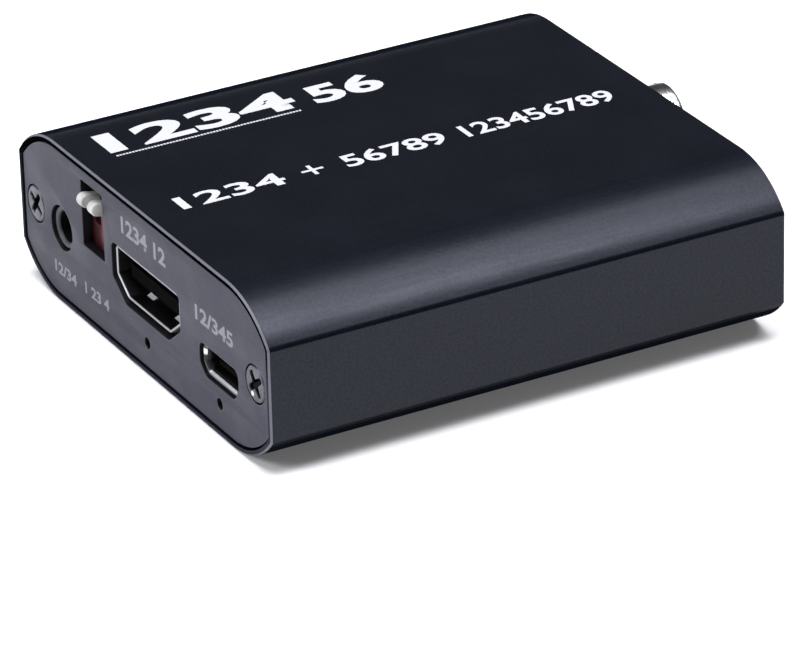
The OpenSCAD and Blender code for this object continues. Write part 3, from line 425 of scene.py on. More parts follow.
def anodised_plate(name="anodised_grey", colour=(0.034, 0.0355, 0.0525)):
    s = Shade(name, colour, metallic=0.0, roughness=0.5, specular=0.2)
    grain = s.noise(0.14, 3, rough=0.7)
    cloud = s.noise(5, 3)
    speck = s.cells(0.3)
    low = tuple(c * 0.72 for c in colour)
    high = tuple(c * 1.3 for c in colour)
    body = s.mix(s.ramp(grain, 0.28, 0.72), low, high)
    body = s.mix(s.math("MULTIPLY", s.ramp(cloud, 0.4, 0.75), 0.25), body, tuple(c * 1.22 for c in colour))
    body = s.mix(s.math("MULTIPLY", s.ramp(speck, 0.16, 0.05), 0.3), body, tuple(c * 1.9 for c in colour))
    s.colour = body
    s.rough = s.ramp(cloud, 0.3, 0.7, 0.46, 0.56)
    s.height = s.math("ADD", grain, s.math("MULTIPLY", speck, 0.4))
    return s.finish(bump=0.3, distance=0.014)


def cut_metal():
    s = Shade("cut_edge", (0.05, 0.05, 0.066), metallic=0.2, roughness=0.45, specular=0.3)
    lines = s.noise(0.12, 2, stretch=(1, 1, 9))
    s.colour = s.mix(s.ramp(lines, 0.3, 0.7), (0.042, 0.043, 0.058), (0.066, 0.067, 0.084))
    s.rough = s.ramp(lines, 0.3, 0.7, 0.38, 0.52)
    s.height = lines
    return s.finish(bump=0.2, distance=0.01)


def plated(name, colour, roughness=0.22, streak=(1, 14, 1), size=0.12, tarnish=0.25, soft_edge=0.0,
           metallic=1.0, bump=0.12):
    """Bright plated sheet or turned metal, with fine lines and a few duller patches."""
    s = Shade(name, colour, metallic=metallic, roughness=roughness)
    lines = s.noise(size, 2, stretch=streak)
    cloud = s.noise(2.2, 4)
    dull = tuple(c * 0.68 for c in colour)
    s.colour = s.mix(s.math("MULTIPLY", s.ramp(cloud, 0.45, 0.8), tarnish), tuple(colour), dull)
    s.rough = s.ramp(s.math("ADD", s.math("MULTIPLY", lines, 0.6), s.math("MULTIPLY", cloud, 0.4)),
                     0.3, 0.7, roughness * 0.75, roughness * 1.45)
    s.height = lines
    return s.finish(bump=bump, distance=0.008, soft_edge=soft_edge)


def flared_sheet():
    """Sheet turned out round a mouth, with painted light and shade: bright where it looks up, dark grey where
    it faces straight out, near black at the sides.
    """
    s = Shade("flared_sheet", (0.4, 0.4, 0.42), metallic=0.45, roughness=0.36)
    nx, ny, _ = s.normal()
    side = s.ramp(s.math("ABSOLUTE", nx), 0.16, 0.36)
    face = s.ramp(s.math("ABSOLUTE", ny), 0.86, 0.95)
    cloud = s.noise(0.8, 3)
    bright = s.mix(s.ramp(cloud, 0.3, 0.7), (0.5, 0.5, 0.53), (0.62, 0.62, 0.65))
    bright = s.mix(face, bright, (0.09, 0.09, 0.1))
    body = s.mix(side, bright, (0.012, 0.012, 0.014))
    # a painted highlight near the upper left corner of the flare
    s.colour = s.mix(s.spot(13.5, 8.1, 0.5, 0.2), body, (0.85, 0.85, 0.88))
    s.rough = s.ramp(cloud, 0.3, 0.7, 0.3, 0.42)
    s.height = cloud
    return s.finish(bump=0.05, distance=0.01)


def switch_red():
    """Red moulding with painted shade, nearly black above its keys and on its left, and painted light, paler
    on its right.
    """
    s = Shade("switch_red", (0.05, 0.003, 0.007), roughness=0.45, specular=0.25)
    skin = s.noise(0.12, 3, rough=0.6)
    x, _, z = s.axes()
    body = s.mix(s.ramp(skin, 0.3, 0.7), (0.02, 0.0015, 0.004), (0.03, 0.0025, 0.006))
    body = s.mix(s.ramp(x, -12.3 * MM, -11.2 * MM), body, (0.13, 0.025, 0.035))
    s.colour = s.mix(s.ramp(z, 13.2 * MM, 13.7 * MM), body, (0.004, 0.001, 0.0015))
    s.rough = s.ramp(skin, 0.3, 0.7, 0.38, 0.52)
    s.height = skin
    return s.finish(bump=0.2, distance=0.01)


def moulded(name, colour, roughness=0.42, bump=0.25, specular=0.5, dust=0.1, soft_edge=0.0):
    """Moulded plastic with a fine spark-eroded skin and paler specks; dust is their strength."""
    s = Shade(name, colour, roughness=roughness, specular=specular)
    skin = s.noise(0.12, 3, rough=0.6)
    cloud = s.noise(1.6, 3)
    low, high = tuple(c * 0.82 for c in colour), tuple(min(c * 1.16 + 0.002, 1) for c in colour)
    body = s.mix(s.ramp(cloud, 0.3, 0.7), low, high)
    worn = tuple(min(c * 1.3 + 0.02, 1) for c in colour)
    s.colour = s.mix(s.math("MULTIPLY", s.ramp(skin, 0.58, 0.78), dust), body, worn)
    s.rough = s.ramp(s.math("ADD", s.math("MULTIPLY", skin, 0.5), s.math("MULTIPLY", cloud, 0.5)),
                     0.3, 0.7, roughness * 0.85, roughness * 1.2)
    s.height = skin
    return s.finish(bump=bump, distance=0.01, soft_edge=soft_edge)


def screw_steel():
    s = Shade("screw_nickel", (0.06, 0.06, 0.08), metallic=0.7, roughness=0.34, specular=0.2)
    grain = s.noise(0.1, 3, rough=0.6)
    cloud = s.noise(0.8, 3)
    # the cross recess is painted darker the deeper it goes, as shade
    depth = s.ramp(s.math("ABSOLUTE", s.axes()[1]), 30.8 * MM, 30.62 * MM)
    body = s.mix(s.ramp(cloud, 0.3, 0.7), (0.05, 0.051, 0.066), (0.09, 0.091, 0.11))
    # a painted glint on the right-hand heads, low and left of the centre
    body = s.mix(s.spot(SCREW_X - 0.62, SCREW_Z - 1.3, 0.36, 0.16), body, (0.85, 0.85, 0.88))
    s.colour = s.mix(depth, body, (0.003, 0.003, 0.004))
    s.rough = s.ramp(grain, 0.3, 0.7, 0.24, 0.4)
    s.height = grain
    return s.finish(bump=0.2, distance=0.008)


def board_green():
    s = Shade("board_green", (0.012, 0.07, 0.03), roughness=0.35, specular=0.5)
    weave = s.noise(0.25, 2, stretch=(1, 5, 1))
    patches = s.cells(3.1)
    x, y, _ = s.axes()
    waves = []
    for axis, pitch in ((x, 1.1), (y, 1.3)):
        turned = s.math("ADD", s.math("MULTIPLY", axis, 2 * math.pi / (pitch * MM)),
                        s.math("MULTIPLY", s.noise(6, 1), 9.0))
        waves.append(s.ramp(s.math("SINE", turned), 0.62, 0.8))
    tracks = s.blend(s.ramp(s.noise(7, 0), 0.49, 0.51), waves[0], waves[1])
    pads = s.ramp(s.cells(2.3), 0.17, 0.14)
    green = s.mix(s.ramp(weave, 0.3, 0.7), (0.008, 0.05, 0.022), (0.014, 0.072, 0.034))
    green = s.mix(s.math("MULTIPLY", tracks, 0.55), green, (0.03, 0.14, 0.05))
    green = s.mix(s.math("MULTIPLY", s.ramp(patches, 0.2, 0.4), 0.2), green, (0.006, 0.04, 0.02))
    flat = s.ramp(s.math("ABSOLUTE", s.normal()[2]), 0.7, 0.9)
    green = s.mix(s.math("MULTIPLY", pads, flat), green, (0.55, 0.5, 0.36))
    s.colour = s.mix(flat, (0.05, 0.038, 0.018), green)
    s.metal = s.math("MULTIPLY", s.math("MULTIPLY", pads, flat), 0.9)
    s.rough = s.ramp(weave, 0.3, 0.7, 0.3, 0.42)
    s.height = s.math("ADD", tracks, pads)
    return s.finish(bump=0.4, distance=0.03)


def chip_material(name, low, high):
    """Black epoxy with a dot in one corner; the outer millimetre of the node's box is tinned leads."""
    s = Shade(name, (0.012, 0.012, 0.013), roughness=0.55, specular=0.4)
    x, y, _ = s.axes()
    mid = [(low[i] + high[i]) / 2 for i in range(2)]
    half = [(high[i] - low[i]) / 2 - MM for i in range(2)]
    outside = s.math("MAXIMUM",
                     s.ramp(s.math("ABSOLUTE", s.math("SUBTRACT", x, mid[0])), half[0], half[0] + 2e-5),
                     s.ramp(s.math("ABSOLUTE", s.math("SUBTRACT", y, mid[1])), half[1], half[1] + 2e-5))
    grain = s.noise(0.12, 3, rough=0.7)
    epoxy = s.mix(s.ramp(grain, 0.3, 0.7), (0.009, 0.009, 0.01), (0.02, 0.02, 0.021))
    dx = s.math("SUBTRACT", x, mid[0] - half[0] + 0.8 * MM)
    dy = s.math("SUBTRACT", y, mid[1] - half[1] + 0.8 * MM)
    away = s.math("SQRT", s.math("ADD", s.math("MULTIPLY", dx, dx), s.math("MULTIPLY", dy, dy)))
    dot = s.ramp(away, 0.32 * MM, 0.27 * MM)
    epoxy = s.mix(s.math("MULTIPLY", dot, 0.7), epoxy, (0.05, 0.05, 0.05))
    s.colour = s.mix(outside, epoxy, (0.62, 0.62, 0.6))
    s.metal = outside
    s.rough = s.blend(outside, s.ramp(grain, 0.3, 0.7, 0.48, 0.62), 0.3)
    s.height = s.math("SUBTRACT", grain, s.math("MULTIPLY", dot, 2.0))
    return s.finish(bump=0.25, distance=0.015, soft_edge=0.04)


def ferrite():
    s = Shade("ferrite_grey", (0.05, 0.05, 0.055), roughness=0.6)
    grain = s.noise(0.2, 4, rough=0.7)
    spots = s.cells(0.5)
    s.colour = s.mix(s.ramp(grain, 0.3, 0.7), (0.035, 0.035, 0.038), (0.085, 0.085, 0.09))
    s.rough = s.ramp(spots, 0.1, 0.5, 0.45, 0.7)
    s.height = s.math("ADD", grain, s.math("MULTIPLY", spots, 0.5))
    return s.finish(bump=0.4, distance=0.03, soft_edge=0.08)


def capacitor_material():
    """Aluminium cans with a dark half-moon on top and black feet; flat tan chips."""
    s = Shade("capacitor_mix", (0.7, 0.7, 0.71), metallic=0.9, roughness=0.3)
    x, _, z = s.axes()
    box_low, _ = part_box("capacitors")
    can = s.ramp(x, -14 * MM, -13.99 * MM, 1.0, 0.0)
    can = s.math("MULTIPLY", can, s.ramp(x, box_low[0] + 4.2 * MM, box_low[0] + 4.3 * MM, 1.0, 0.0))
    foot = s.ramp(z, (BOARD_TOP + 0.92) * MM, (BOARD_TOP + 0.9) * MM)
    top = s.ramp(s.normal()[2], 0.8, 0.95)
    high = s.ramp(z, (BOARD_TOP + 4.9) * MM, (BOARD_TOP + 5.0) * MM)
    moon = s.math("MULTIPLY", s.math("MULTIPLY", top, high),
                  s.ramp(x, box_low[0] + 1.3 * MM, box_low[0] + 1.27 * MM))
    lines = s.noise(0.15, 2, stretch=(12, 12, 1))
    metal = s.mix(s.ramp(lines, 0.3, 0.7), (0.6, 0.6, 0.61), (0.78, 0.78, 0.79))
    metal = s.mix(moon, metal, (0.015, 0.015, 0.02))
    metal = s.mix(foot, metal, (0.015, 0.015, 0.016))
    grain = s.noise(0.15, 3)
    tan = s.mix(s.ramp(grain, 0.3, 0.7), (0.3, 0.2, 0.11), (0.42, 0.29, 0.17))
    s.colour = s.mix(can, tan, metal)
    s.metal = s.math("MULTIPLY", can, s.math("SUBTRACT", 0.95, s.math("MAXIMUM", foot, moon), clamp=True))
    s.rough = s.ramp(lines, 0.3, 0.7, 0.24, 0.45)
    s.height = lines
    return s.finish(bump=0.1, distance=0.01, soft_edge=0.08)


def clear_lamp():
    s = Shade("lamp_milky", (0.82, 0.83, 0.8), roughness=0.25)
    s.set("Subsurface Weight", 0.3)
    s.set("Subsurface Radius", (0.001, 0.001, 0.001))
    s.set("Subsurface Scale", 0.5)
    cloud = s.noise(0.6, 3)
    s.colour = s.mix(s.ramp(cloud, 0.3, 0.7), (0.74, 0.75, 0.7), (0.88, 0.89, 0.86))
    s.rough = s.ramp(cloud, 0.3, 0.7, 0.2, 0.32)
    s.height = cloud
    return s.finish(bump=0.08, distance=0.02, soft_edge=0.08)


def emitter_resin():
    s = Shade("emitter_resin", (0.09, 0.012, 0.012), roughness=0.2)
    s.set("Coat Weight", 0.3)
    cloud = s.noise(0.9, 3)
    s.colour = s.mix(s.ramp(cloud, 0.3, 0.7), (0.06, 0.008, 0.008), (0.13, 0.02, 0.016))
    s.rough = s.ramp(cloud, 0.3, 0.7, 0.16, 0.28)
    s.height = cloud
    return s.finish(bump=0.08, distance=0.02, soft_edge=0.08)


def printed(name, colour):
    s = Shade(name, colour, roughness=0.5, specular=0.3)
    grain = s.noise(0.12, 3, rough=0.7)
    low, high = tuple(c * 0.86 for c in colour), tuple(min(c * 1.08, 1) for c in colour)
    s.colour = s.mix(s.ramp(grain, 0.25, 0.75), low, high)
    s.rough = s.ramp(grain, 0.3, 0.7, 0.42, 0.58)
    s.height = grain
    return s.finish(bump=0.1, distance=0.006)


CASE = anodised_case()
PLATE = anodised_plate()
CUT = cut_metal()
# the walls of the holes in the end plates are painted near black as shade
WALL_SHADE = anodised_plate("hole_wall_painted_shade", (0.003, 0.003, 0.004))
SHELL = plated("nickel_sheet", (0.6, 0.6, 0.63), roughness=0.24)
RIM = plated("sheet_rim", (0.42, 0.42, 0.45), roughness=0.4, metallic=0.5, bump=0.04)
TAB = plated("catch_spring", (0.85, 0.85, 0.86), roughness=0.4, metallic=0.3, bump=0.04)
FLARE = flared_sheet()
# the insides of the socket shells are painted near black as shade
SHELL_INSIDE_SHADE = plated("nickel_inside_painted_shade", (0.028, 0.028, 0.031), roughness=0.42)
BARREL = plated("nickel_turned", (0.84, 0.84, 0.85), roughness=0.16, streak=(12, 1, 12), size=0.1, bump=0.05)
STEEL = plated("spring_steel", (0.55, 0.55, 0.57), roughness=0.25)
GOLD = plated("gold_contact", (0.5, 0.34, 0.13), roughness=0.22, tarnish=0.35)
CAN = plated("crystal_can", (0.72, 0.72, 0.73), roughness=0.26, streak=(8, 1, 8), soft_edge=0.12)
TIN = plated("tinned_pin", (0.66, 0.66, 0.64), roughness=0.35, tarnish=0.4)
BLACK = moulded("black_moulding", (0.006, 0.006, 0.007), roughness=0.48, specular=0.2, dust=0.04)
BLACK_CAD = moulded("black_moulding_soft", (0.0008, 0.0008, 0.001), roughness=0.8, specular=0.02,
                    dust=0.01, soft_edge=0.06)
BLACK_BORE = moulded("black_bore", (0.002, 0.002, 0.003), roughness=0.6, specular=0.06, dust=0.01)
COLLAR = moulded("jack_collar", (0.05, 0.052, 0.062), roughness=0.42, specular=0.3, dust=0.03)
FLAP = moulded("flap_black", (0.011, 0.011, 0.012), roughness=0.3, bump=0.12)
RED = switch_red()
WHITE = moulded("key_white", (0.47, 0.465, 0.46), roughness=0.38, dust=0.05)
YELLOW = moulded("insert_yellow", (0.66, 0.56, 0.045), roughness=0.33, bump=0.12)
SCREW = screw_steel()
PRINT = printed("print_white", (0.54, 0.545, 0.58))
PRINT_GREY = printed("print_grey", (0.2, 0.205, 0.23))


# Carried-over CAD nodes

def dress(node, material):
    use_material(NODES[node].data, material)


dress("case_shell", CASE)
dress("circuit_board", board_green())
for name in ("hdmi_in_tongue", "hdmi_out_tongue", "usb_tongue"):
    dress(name, BLACK_CAD)
for name in ("hdmi_in_contacts", "hdmi_out_contacts", "usb_contacts", "headphone_jack_contacts"):
    dress(name, GOLD)
dress("dip_switch_pins", TIN)
dress("optical_shutter_pin", STEEL)
dress("optical_shutter_spring", STEEL)
dress("optical_emitter", emitter_resin())
dress("status_lamps", clear_lamp())
dress("crystal", CAN)
dress("inductor", ferrite())
dress("capacitors", capacitor_material())
for name in ("main_chip", "audio_chip", "memory_chip", "voltage_regulator"):
    low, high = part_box(name)
    dress(name, chip_material(name + "_epoxy", low, high))


# End plates

def plate(name, front, holes):
    """End plate from its outline and holes, each a function of growth; y runs inwards from the face."""
    mesh = Mesh()
    y_face, y_back = (-FACE_Y, -PLATE_BACK_Y) if front else (FACE_Y, PLATE_BACK_Y)
    into = 1 if front else -1
    chamfer = 0.12
    steps = 4
    outlines = [lambda g: case_outline(PLATE_INSET - g)] + holes
    faces_front, faces_back = [], []
    for number, outline in enumerate(outlines):
        sign = 1 if number == 0 else -1
        rings = []
        for k in range(steps + 1):
            a = math.pi / 2 * k / steps
            grow = -sign * chamfer * (1 - math.sin(a))
            y = y_face + into * chamfer * (1 - math.cos(a))
            rings.append([(x, y, z) for x, z in outline(grow)])
        rings.append([(x, y_back, z) for x, z in outline(0)])
        mats = [1] * steps + [2]
        mesh.loft(rings, mats)
        faces_front.append([Vector((x, z, 0)) for x, _, z in rings[0]])
        faces_back.append([Vector((x, z, 0)) for x, _, z in rings[-1]])
    for loops, y in ((faces_front, y_face), (faces_back, y_back)):
        flat = [p for loop in loops for p in loop]
        mesh.add([(p.x, y, p.y) for p in flat], tessellate_polygon(loops), 0)
    obj = mesh.build(name, [PLATE, CUT, WALL_SHADE], slot="plate",
                     replaces=["front_plate" if front else "rear_plate"], recalc=False)

    def join(bm):
        bmesh.ops.remove_doubles(bm, verts=bm.verts, dist=1e-7)
        turn_outwards(bm)

    edit(obj.data, join)
    smooth(obj.data, 25)


def round_hole(x, z, r):
    return lambda g: circle(x, z, r + g)


def socket_hole(size, x, gap, corners):
    low = BOARD_TOP - size.get("sink", 0)
    return lambda g: [(px + x, pz + low) for px, pz in socket_outline(size, gap + g, corners)]


def rect_hole(x0, z0, x1, z1, r):
    return lambda g: rounded([(x0 - g, z0 - g), (x1 + g, z0 - g), (x1 + g, z1 + g), (x0 - g, z1 + g)], r + g)


HDMI_CORNERS = (0.9, 0.9, 0.7, 0.45, 0.45, 0.7)
USB_CORNERS = (0.45, 0.45, 0.4, 0.35, 0.35, 0.4)
screw_holes = [round_hole(side * SCREW_X, SCREW_Z, SCREW_HOLE_R) for side in (-1, 1)]
plate("front_plate_face", True, screw_holes + [
    socket_hole(HDMI, HDMI_IN_X + HDMI_HOLE_SHIFT, HDMI["hole"], HDMI_CORNERS),
    socket_hole(USB, USB_X, USB["lip"] + USB["hole"], USB_CORNERS),
    round_hole(JACK_X, JACK_Z, JACK_HOLE_R),
    rect_hole(*SWITCH_HOLE),
] + [round_hole(x, LAMP_Z, LAMP_HOLE_R) for x in FRONT_LAMPS_X])
plate("rear_plate_face", False, screw_holes + [
    socket_hole(HDMI, HDMI_OUT_X, HDMI["hole"], HDMI_CORNERS),
    round_hole(RCA_X, RCA_Z, RCA_HOLE_R),
    rect_hole(*OPTICAL_HOLE),
    round_hole(REAR_LAMP_X, LAMP_Z, LAMP_HOLE_R),
])


# Screws

def cross_depth(u, v):
    """Depth of a cross recess at a place on the head: steep walls, a pointed floor."""
    depth = 0
    for a, b in ((u, v), (v, u)):
        along, across = abs(a), abs(b)
        half = 0.36 - 0.09 * along
        wall = min(max((half + 0.1 - across) / 0.1, 0), 1)
        end = min(max((1.6 - along) / 0.2, 0), 1)
        floor = 0.95 - 0.42 * along
        depth = max(depth, floor * wall * wall * (3 - 2 * wall) * end)
    return depth


def screws(name, front, node):
    mesh = Mesh()
    into = 1 if front else -1
    rings, segments, head_r, dish_r = 46, 96, 2.15, 1.85
    thread_r, root_r, pitch = 1.2, 0.98, 0.56
    for side, turn in ((-1, 0.62), (1, 0.95)):
        x0 = side * SCREW_X
        if not front:
            turn += 0.5
        grid = []
        for i in range(rings + 1):
            r = head_r * i / rings
            lift = 0.3 * max(0, (r - dish_r) / 0.3) ** 2
            ring = []
            for k in range(segments):
                a = 2 * math.pi * k / segments
                u, v = r * math.cos(a), r * math.sin(a)
                cu = u * math.cos(turn) - v * math.sin(turn)
                cv = u * math.sin(turn) + v * math.cos(turn)
                y = 0.02 + lift + cross_depth(cu, cv)
                ring.append((x0 + u, into * (y - FACE_Y), SCREW_Z + v))
            grid.append(ring)
        profile = [(2.12, 0.42), (1.22, 1.02), (thread_r, 1.1)]
        y = 1.1
        while y < 5.6:
            profile += [(thread_r, y + 0.2), (root_r, y + 0.38), (thread_r, y + pitch)]
            y += pitch
        profile += [(0.95, 6.0), (0.42, 6.9), (0.02, 6.98)]
        for r, y in profile:
            grid.append([(x, into * (y - FACE_Y), z) for x, z in circle(x0, SCREW_Z, r, segments)])
        mesh.loft(grid)
    mesh.build(name, [SCREW], slot="screw", replaces=[node], angle=40)


screws("front_screw_heads", True, "front_screws")
screws("rear_screw_heads", False, "rear_screws")


# HDMI and USB shells

def tube(mesh, size, corners, profile, mats):
    """Closed sheet-metal tube: profile is a loop of (growth, y) points."""
    mesh.loft([[(x, y, z) for x, z in socket_outline(size, g, corners)] for g, y in profile],
              mats, closed=True)


def strip(mesh, centre_line, width, thick, x0, mat=0):
    """Bent strip of sheet: centre_line is (y, z) points, width runs along X."""
    rings = []
    for i, (y, z) in enumerate(centre_line):
        before = centre_line[max(i - 1, 0)]
        after = centre_line[min(i + 1, len(centre_line) - 1)]
        d = Vector((after[0] - before[0], after[1] - before[1])).normalized()
        n = Vector((-d.y, d.x)) * thick / 2
        rings.append([(x0 - width / 2, y - n.x, z - n.y), (x0 + width / 2, y - n.x, z - n.y),
                      (x0 + width / 2, y + n.x, z + n.y), (x0 - width / 2, y + n.x, z + n.y)])
    mesh.loft(rings, mat, caps=(True, True))


def hdmi_shell(name, node, place):
    size, t, length = HDMI, HDMI["t"], HDMI["length"]
    mesh = Mesh()
    profile = [(-t, length), (-t, 0.3), (-t * 0.93, 0.12), (-t * 0.72, 0.03), (-t * 0.5, 0.0),
               (-t * 0.28, 0.03), (-t * 0.07, 0.12), (0, 0.3), (0, length)]
    tube(mesh, size, (0.9, 0.9, 0.75, 0.55, 0.55, 0.75), profile, mats=[1, 1] + [2] * 6 + [0, 0])
    # catch springs: bowed strips on the floor and under the roof
    for x in (-3.2, 3.2):
        bow = [(1.8 + 3.2 * k / 10, t * 0.75 + 0.5 * math.sin(math.pi * min(k / 10 * 1.25, 1)) ** 1.5)
               for k in range(11)]
        strip(mesh, bow, 1.5, 0.24, x, mat=3)
        strip(mesh, [(y, size["h"] - z) for y, z in bow], 1.5, 0.24, x * 1.25, mat=3)
    # legs through the board
    for side in (-1, 1):
        for share in (0.2, 0.73):
            x = side * (size["w"] - t) / 2
            y = length * share
            mesh.box((x - t / 2, y, -BOARD_T - 0.6), (x + t / 2, y + 1.4, 2.4), 0.08)
    mesh.moved(place).build(name, [SHELL, SHELL_INSIDE_SHADE, RIM, TAB], slot="socket_shell", replaces=[node])


hdmi_shell("hdmi_in_can", "hdmi_in_shell", front_place(HDMI_IN_X, HDMI["recess"]))
hdmi_shell("hdmi_out_can", "hdmi_out_shell", rear_place(HDMI_OUT_X, HDMI["recess"]))


def usb_shell():
    size, t, lip, length = USB, USB["t"], USB["lip"], USB["length"]
    mesh = Mesh()
    profile = [(-t, length), (-t, 0.75), (-t * 0.8, 0.5), (-t * 0.2, 0.28), (0.12, 0.12),
               (lip - 0.12, 0.03), (lip - 0.03, 0.03), (lip, 0.1), (lip - 0.03, 0.2),
               (lip - 0.12, 0.25), (0.2, 0.36), (0.06, 0.52), (0, 0.75), (0, length)]
    tube(mesh, size, (0.5, 0.5, 0.5, 0.45, 0.45, 0.5), profile, mats=[1, 1, 1] + [0] * 11)
    bow = [(1.4 + 0.2 * k, size["h"] - t - 0.02 - 0.16 * math.sin(math.pi * k / 8)) for k in range(9)]
    for x in (-2.2, 2.2):
        strip(mesh, bow, 0.7, 0.12, x)
    # wings that rest on the board beside its notch
    for side in (-1, 1):
        inner, outer = side * (size["w"] / 2 - 0.5), side * (size["w"] / 2 + 0.8)
        mesh.box((min(inner, outer), 1.6, size["sink"]), (max(inner, outer), 4.2, size["sink"] + t), 0.06)
    mesh.moved(front_place(USB_X, USB["recess"], USB["sink"])).build(
        "usb_can", [FLARE, SHELL_INSIDE_SHADE], slot="socket_shell", replaces=["usb_shell"])


usb_shell()


# Headphone jack

def headphone_jack():
    mesh = Mesh()
    z, bore_r, bore_end, segments = JACK_AXIS_H, 1.8, 12.35, 80
    collar = [(bore_r, bore_end), (bore_r, 0.36), (1.82, 0.24), (1.84, 0.18), (1.93, 0.1), (2.06, 0.06),
              (2.12, 0.02), (2.2, 0.0), (2.32, 0.02), (2.38, 0.1), (2.4, 0.22), (2.4, 1.05)]
    mesh.lathe(collar, (0, z), segments, [0] + [2] * 8 + [0, 0])
    mesh.lathe([(bore_r, bore_end), (0.01, bore_end)], (0, z), segments)
    # body: rounded shell open along the bore, with a moulded step and side windows
    half, height, front, back = 3.2, 4.9, 1.0, 13.0

    def outline(inset):
        low, high, top = inset - half, half - inset, height - inset
        return rounded([(low, inset), (high, inset), (high, top), (low, top)], 0.25)

    outer, inner = ([Vector((x, zz, 0)) for x, zz in loop]
                    for loop in (outline(0), circle(0, z, bore_r, segments)))
    mesh.add([(p.x, front, p.y) for p in outer + inner], tessellate_polygon([outer, inner]))
    mesh.loft([[(x, y, zz) for x, zz in outline(inset)] for inset, y in
               ((0, front), (0, back - 0.2), (0.06, back - 0.06), (0.2, back))], caps=(False, True))
    for side in (-1, 1):
        x = side * half
        mesh.box((x - 0.12, 3.4, z - 0.6), (x + 0.02, 11, z + 0.6), 0.05, mat=1)
    mesh.box((-1.1, 4.5, 4.82), (1.1, 9.5, 4.93), 0.05)
    mesh.moved(front_place(JACK_X, 0.45)).build(
        "headphone_jack", [BLACK_BORE, GOLD, COLLAR], slot="black_moulding", replaces=["headphone_jack_body"])


headphone_jack()


# Switch, RCA jack, optical port

softened("dip_switch_body", "switch_body", RED, 0.12)
for number in (1, 2):
    softened(f"dip_lever_{number}", f"switch_key_{number}", WHITE, 0.16,
             body=f"key_{number}", segments=3)
softened("rca_housing", "rca_block", BLACK, 0.25, segments=3)
softened("optical_housing", "optical_block", BLACK, 0.14)
softened("optical_shutter", "optical_flap", FLAP, 0.1, body="flap")


def rca_jack():
    centre = (RCA_X, RCA_Z)
    barrel = Mesh()
    barrel.lathe([(3.6, 28.49), (4.5, 28.49), (4.6, 28.57), (4.6, 29.2), (4.52, 29.28), (4.2, 29.29),
                  (4.15, 29.34), (4.15, 31.5), (4.1, 31.55), (4.1, 31.75), (4.15, 31.8), (4.15, 35.1),
                  (4.1, 35.15), (4.1, 35.3), (4.15, 35.35), (4.15, 35.95), (4.13, 36.08), (4.06, 36.18),
                  (3.95, 36.24), (3.85, 36.25), (3.74, 36.24), (3.64, 36.17), (3.6, 36.05)],
                 centre, 120, closed=True)
    barrel.build("rca_sleeve", [BARREL], slot="barrel", replaces=["rca_barrel"])
    insert = Mesh()
    insert.lathe([(0.02, 23.99), (3.3, 23.99), (3.56, 24.2), (3.56, 35.7), (3.5, 35.87), (3.36, 35.96),
                  (3.2, 35.99), (2.55, 36.0), (2.4, 35.97), (2.28, 35.87), (1.7, 34.75), (1.64, 34.6),
                  (1.92, 34.58), (1.92, 26.58), (0.02, 26.58)], centre, 96)
    insert.build("rca_insert", [YELLOW], slot="insert_yellow", replaces=["rca_insulator"])


rca_jack()
softened("rca_centre_contact", "rca_contact", BARREL, 0.05)


# Plain printed numbers

def print_text(name, text, low, high, weight, place, material):
    """Plain digits fitted into the rectangle low..high (millimetres), laid on the object by place."""
    curve = bpy.data.curves.new(name, "FONT")
    curve.body = text
    curve.size = 1.0
    curve.offset = weight
    curve.resolution_u = 4
    temp = add_object(name + "_line", curve)
    bpy.context.view_layer.update()
    mesh = bpy.data.meshes.new_from_object(temp.evaluated_get(bpy.context.evaluated_depsgraph_get()))
    bpy.data.objects.remove(temp)
    mesh.name = name
    co = np.array([v.co[:2] for v in mesh.vertices])
    start, end = co.min(0), co.max(0)
    for v in mesh.vertices:
        u = low[0] + (v.co.x - start[0]) / (end[0] - start[0]) * (high[0] - low[0])
        w = low[1] + (v.co.y - start[1]) / (end[1] - start[1]) * (high[1] - low[1])
        v.co = Vector(place(u, w)) * MM
    use_material(mesh, material)
    finish_piece(add_object(name, mesh), "box", ())


def on_top(u, w):
    """Reads along +Y with its head towards -X."""
    return (-w, u, BODY_H + PRINT_LIFT)


def on_front_plate(u, w):
    return (u, -FACE_Y - PRINT_LIFT, w)


def on_rear_plate(u, w):
    return (-u, FACE_Y + PRINT_LIFT, w)


# Number of the piece, digits, two corners of their rectangle, added weight of the strokes
TOP_PRINTS = (
    (1, "1234", (-27.0, 13.9), (-3.8, 19.0), 0.035),
    (2, "56", (-2.0, 13.4), (6.7, 18.2), 0.035),
    (3, "-" * 60, (-26.8, 12.9), (-4.4, 13.2), 0.0),
    (4, "1234", (-26.8, -2.8), (-14.2, 0.3), 0.02),
    (5, "+", (-12.0, -2.4), (-9.4, 0.0), 0.0),
    (6, "56789", (-7.0, -2.8), (5.4, 0.3), 0.02),
    (7, "123456789", (7.6, -2.8), (26.3, 0.3), 0.02),
)
FRONT_PRINTS = (
    (1, "12/34", (-21.4, 3.3), (-16.1, 4.7), 0.03),
    (2, "1 23 4", (-14.0, 3.6), (-8.2, 5.0), 0.03),
    (3, "1234 12", (-4.3, 14.7), (6.0, 16.7), 0.03),
    (4, "12/345", (12.5, 11.6), (21.0, 13.4), 0.03),
)
REAR_PRINTS = (
    (5, "12 345", (-20.4, 14.8), (-9.6, 16.7), 0.03),
    (6, "12", (2.4, 3.2), (4.4, 4.9), 0.03),
    (7, "1234", (14.2, 3.2), (19.2, 4.9), 0.03),
)
for face, prints, place, material in (("top", TOP_PRINTS, on_top, PRINT),
                                      ("front", FRONT_PRINTS, on_front_plate, PRINT_GREY),
                                      ("rear", REAR_PRINTS, on_rear_plate, PRINT_GREY)):
    for number, digits, low, high, weight in prints:
        print_text(f"{face}_print_{number}", digits, low, high, weight, place, material)


# Floor, light and camera

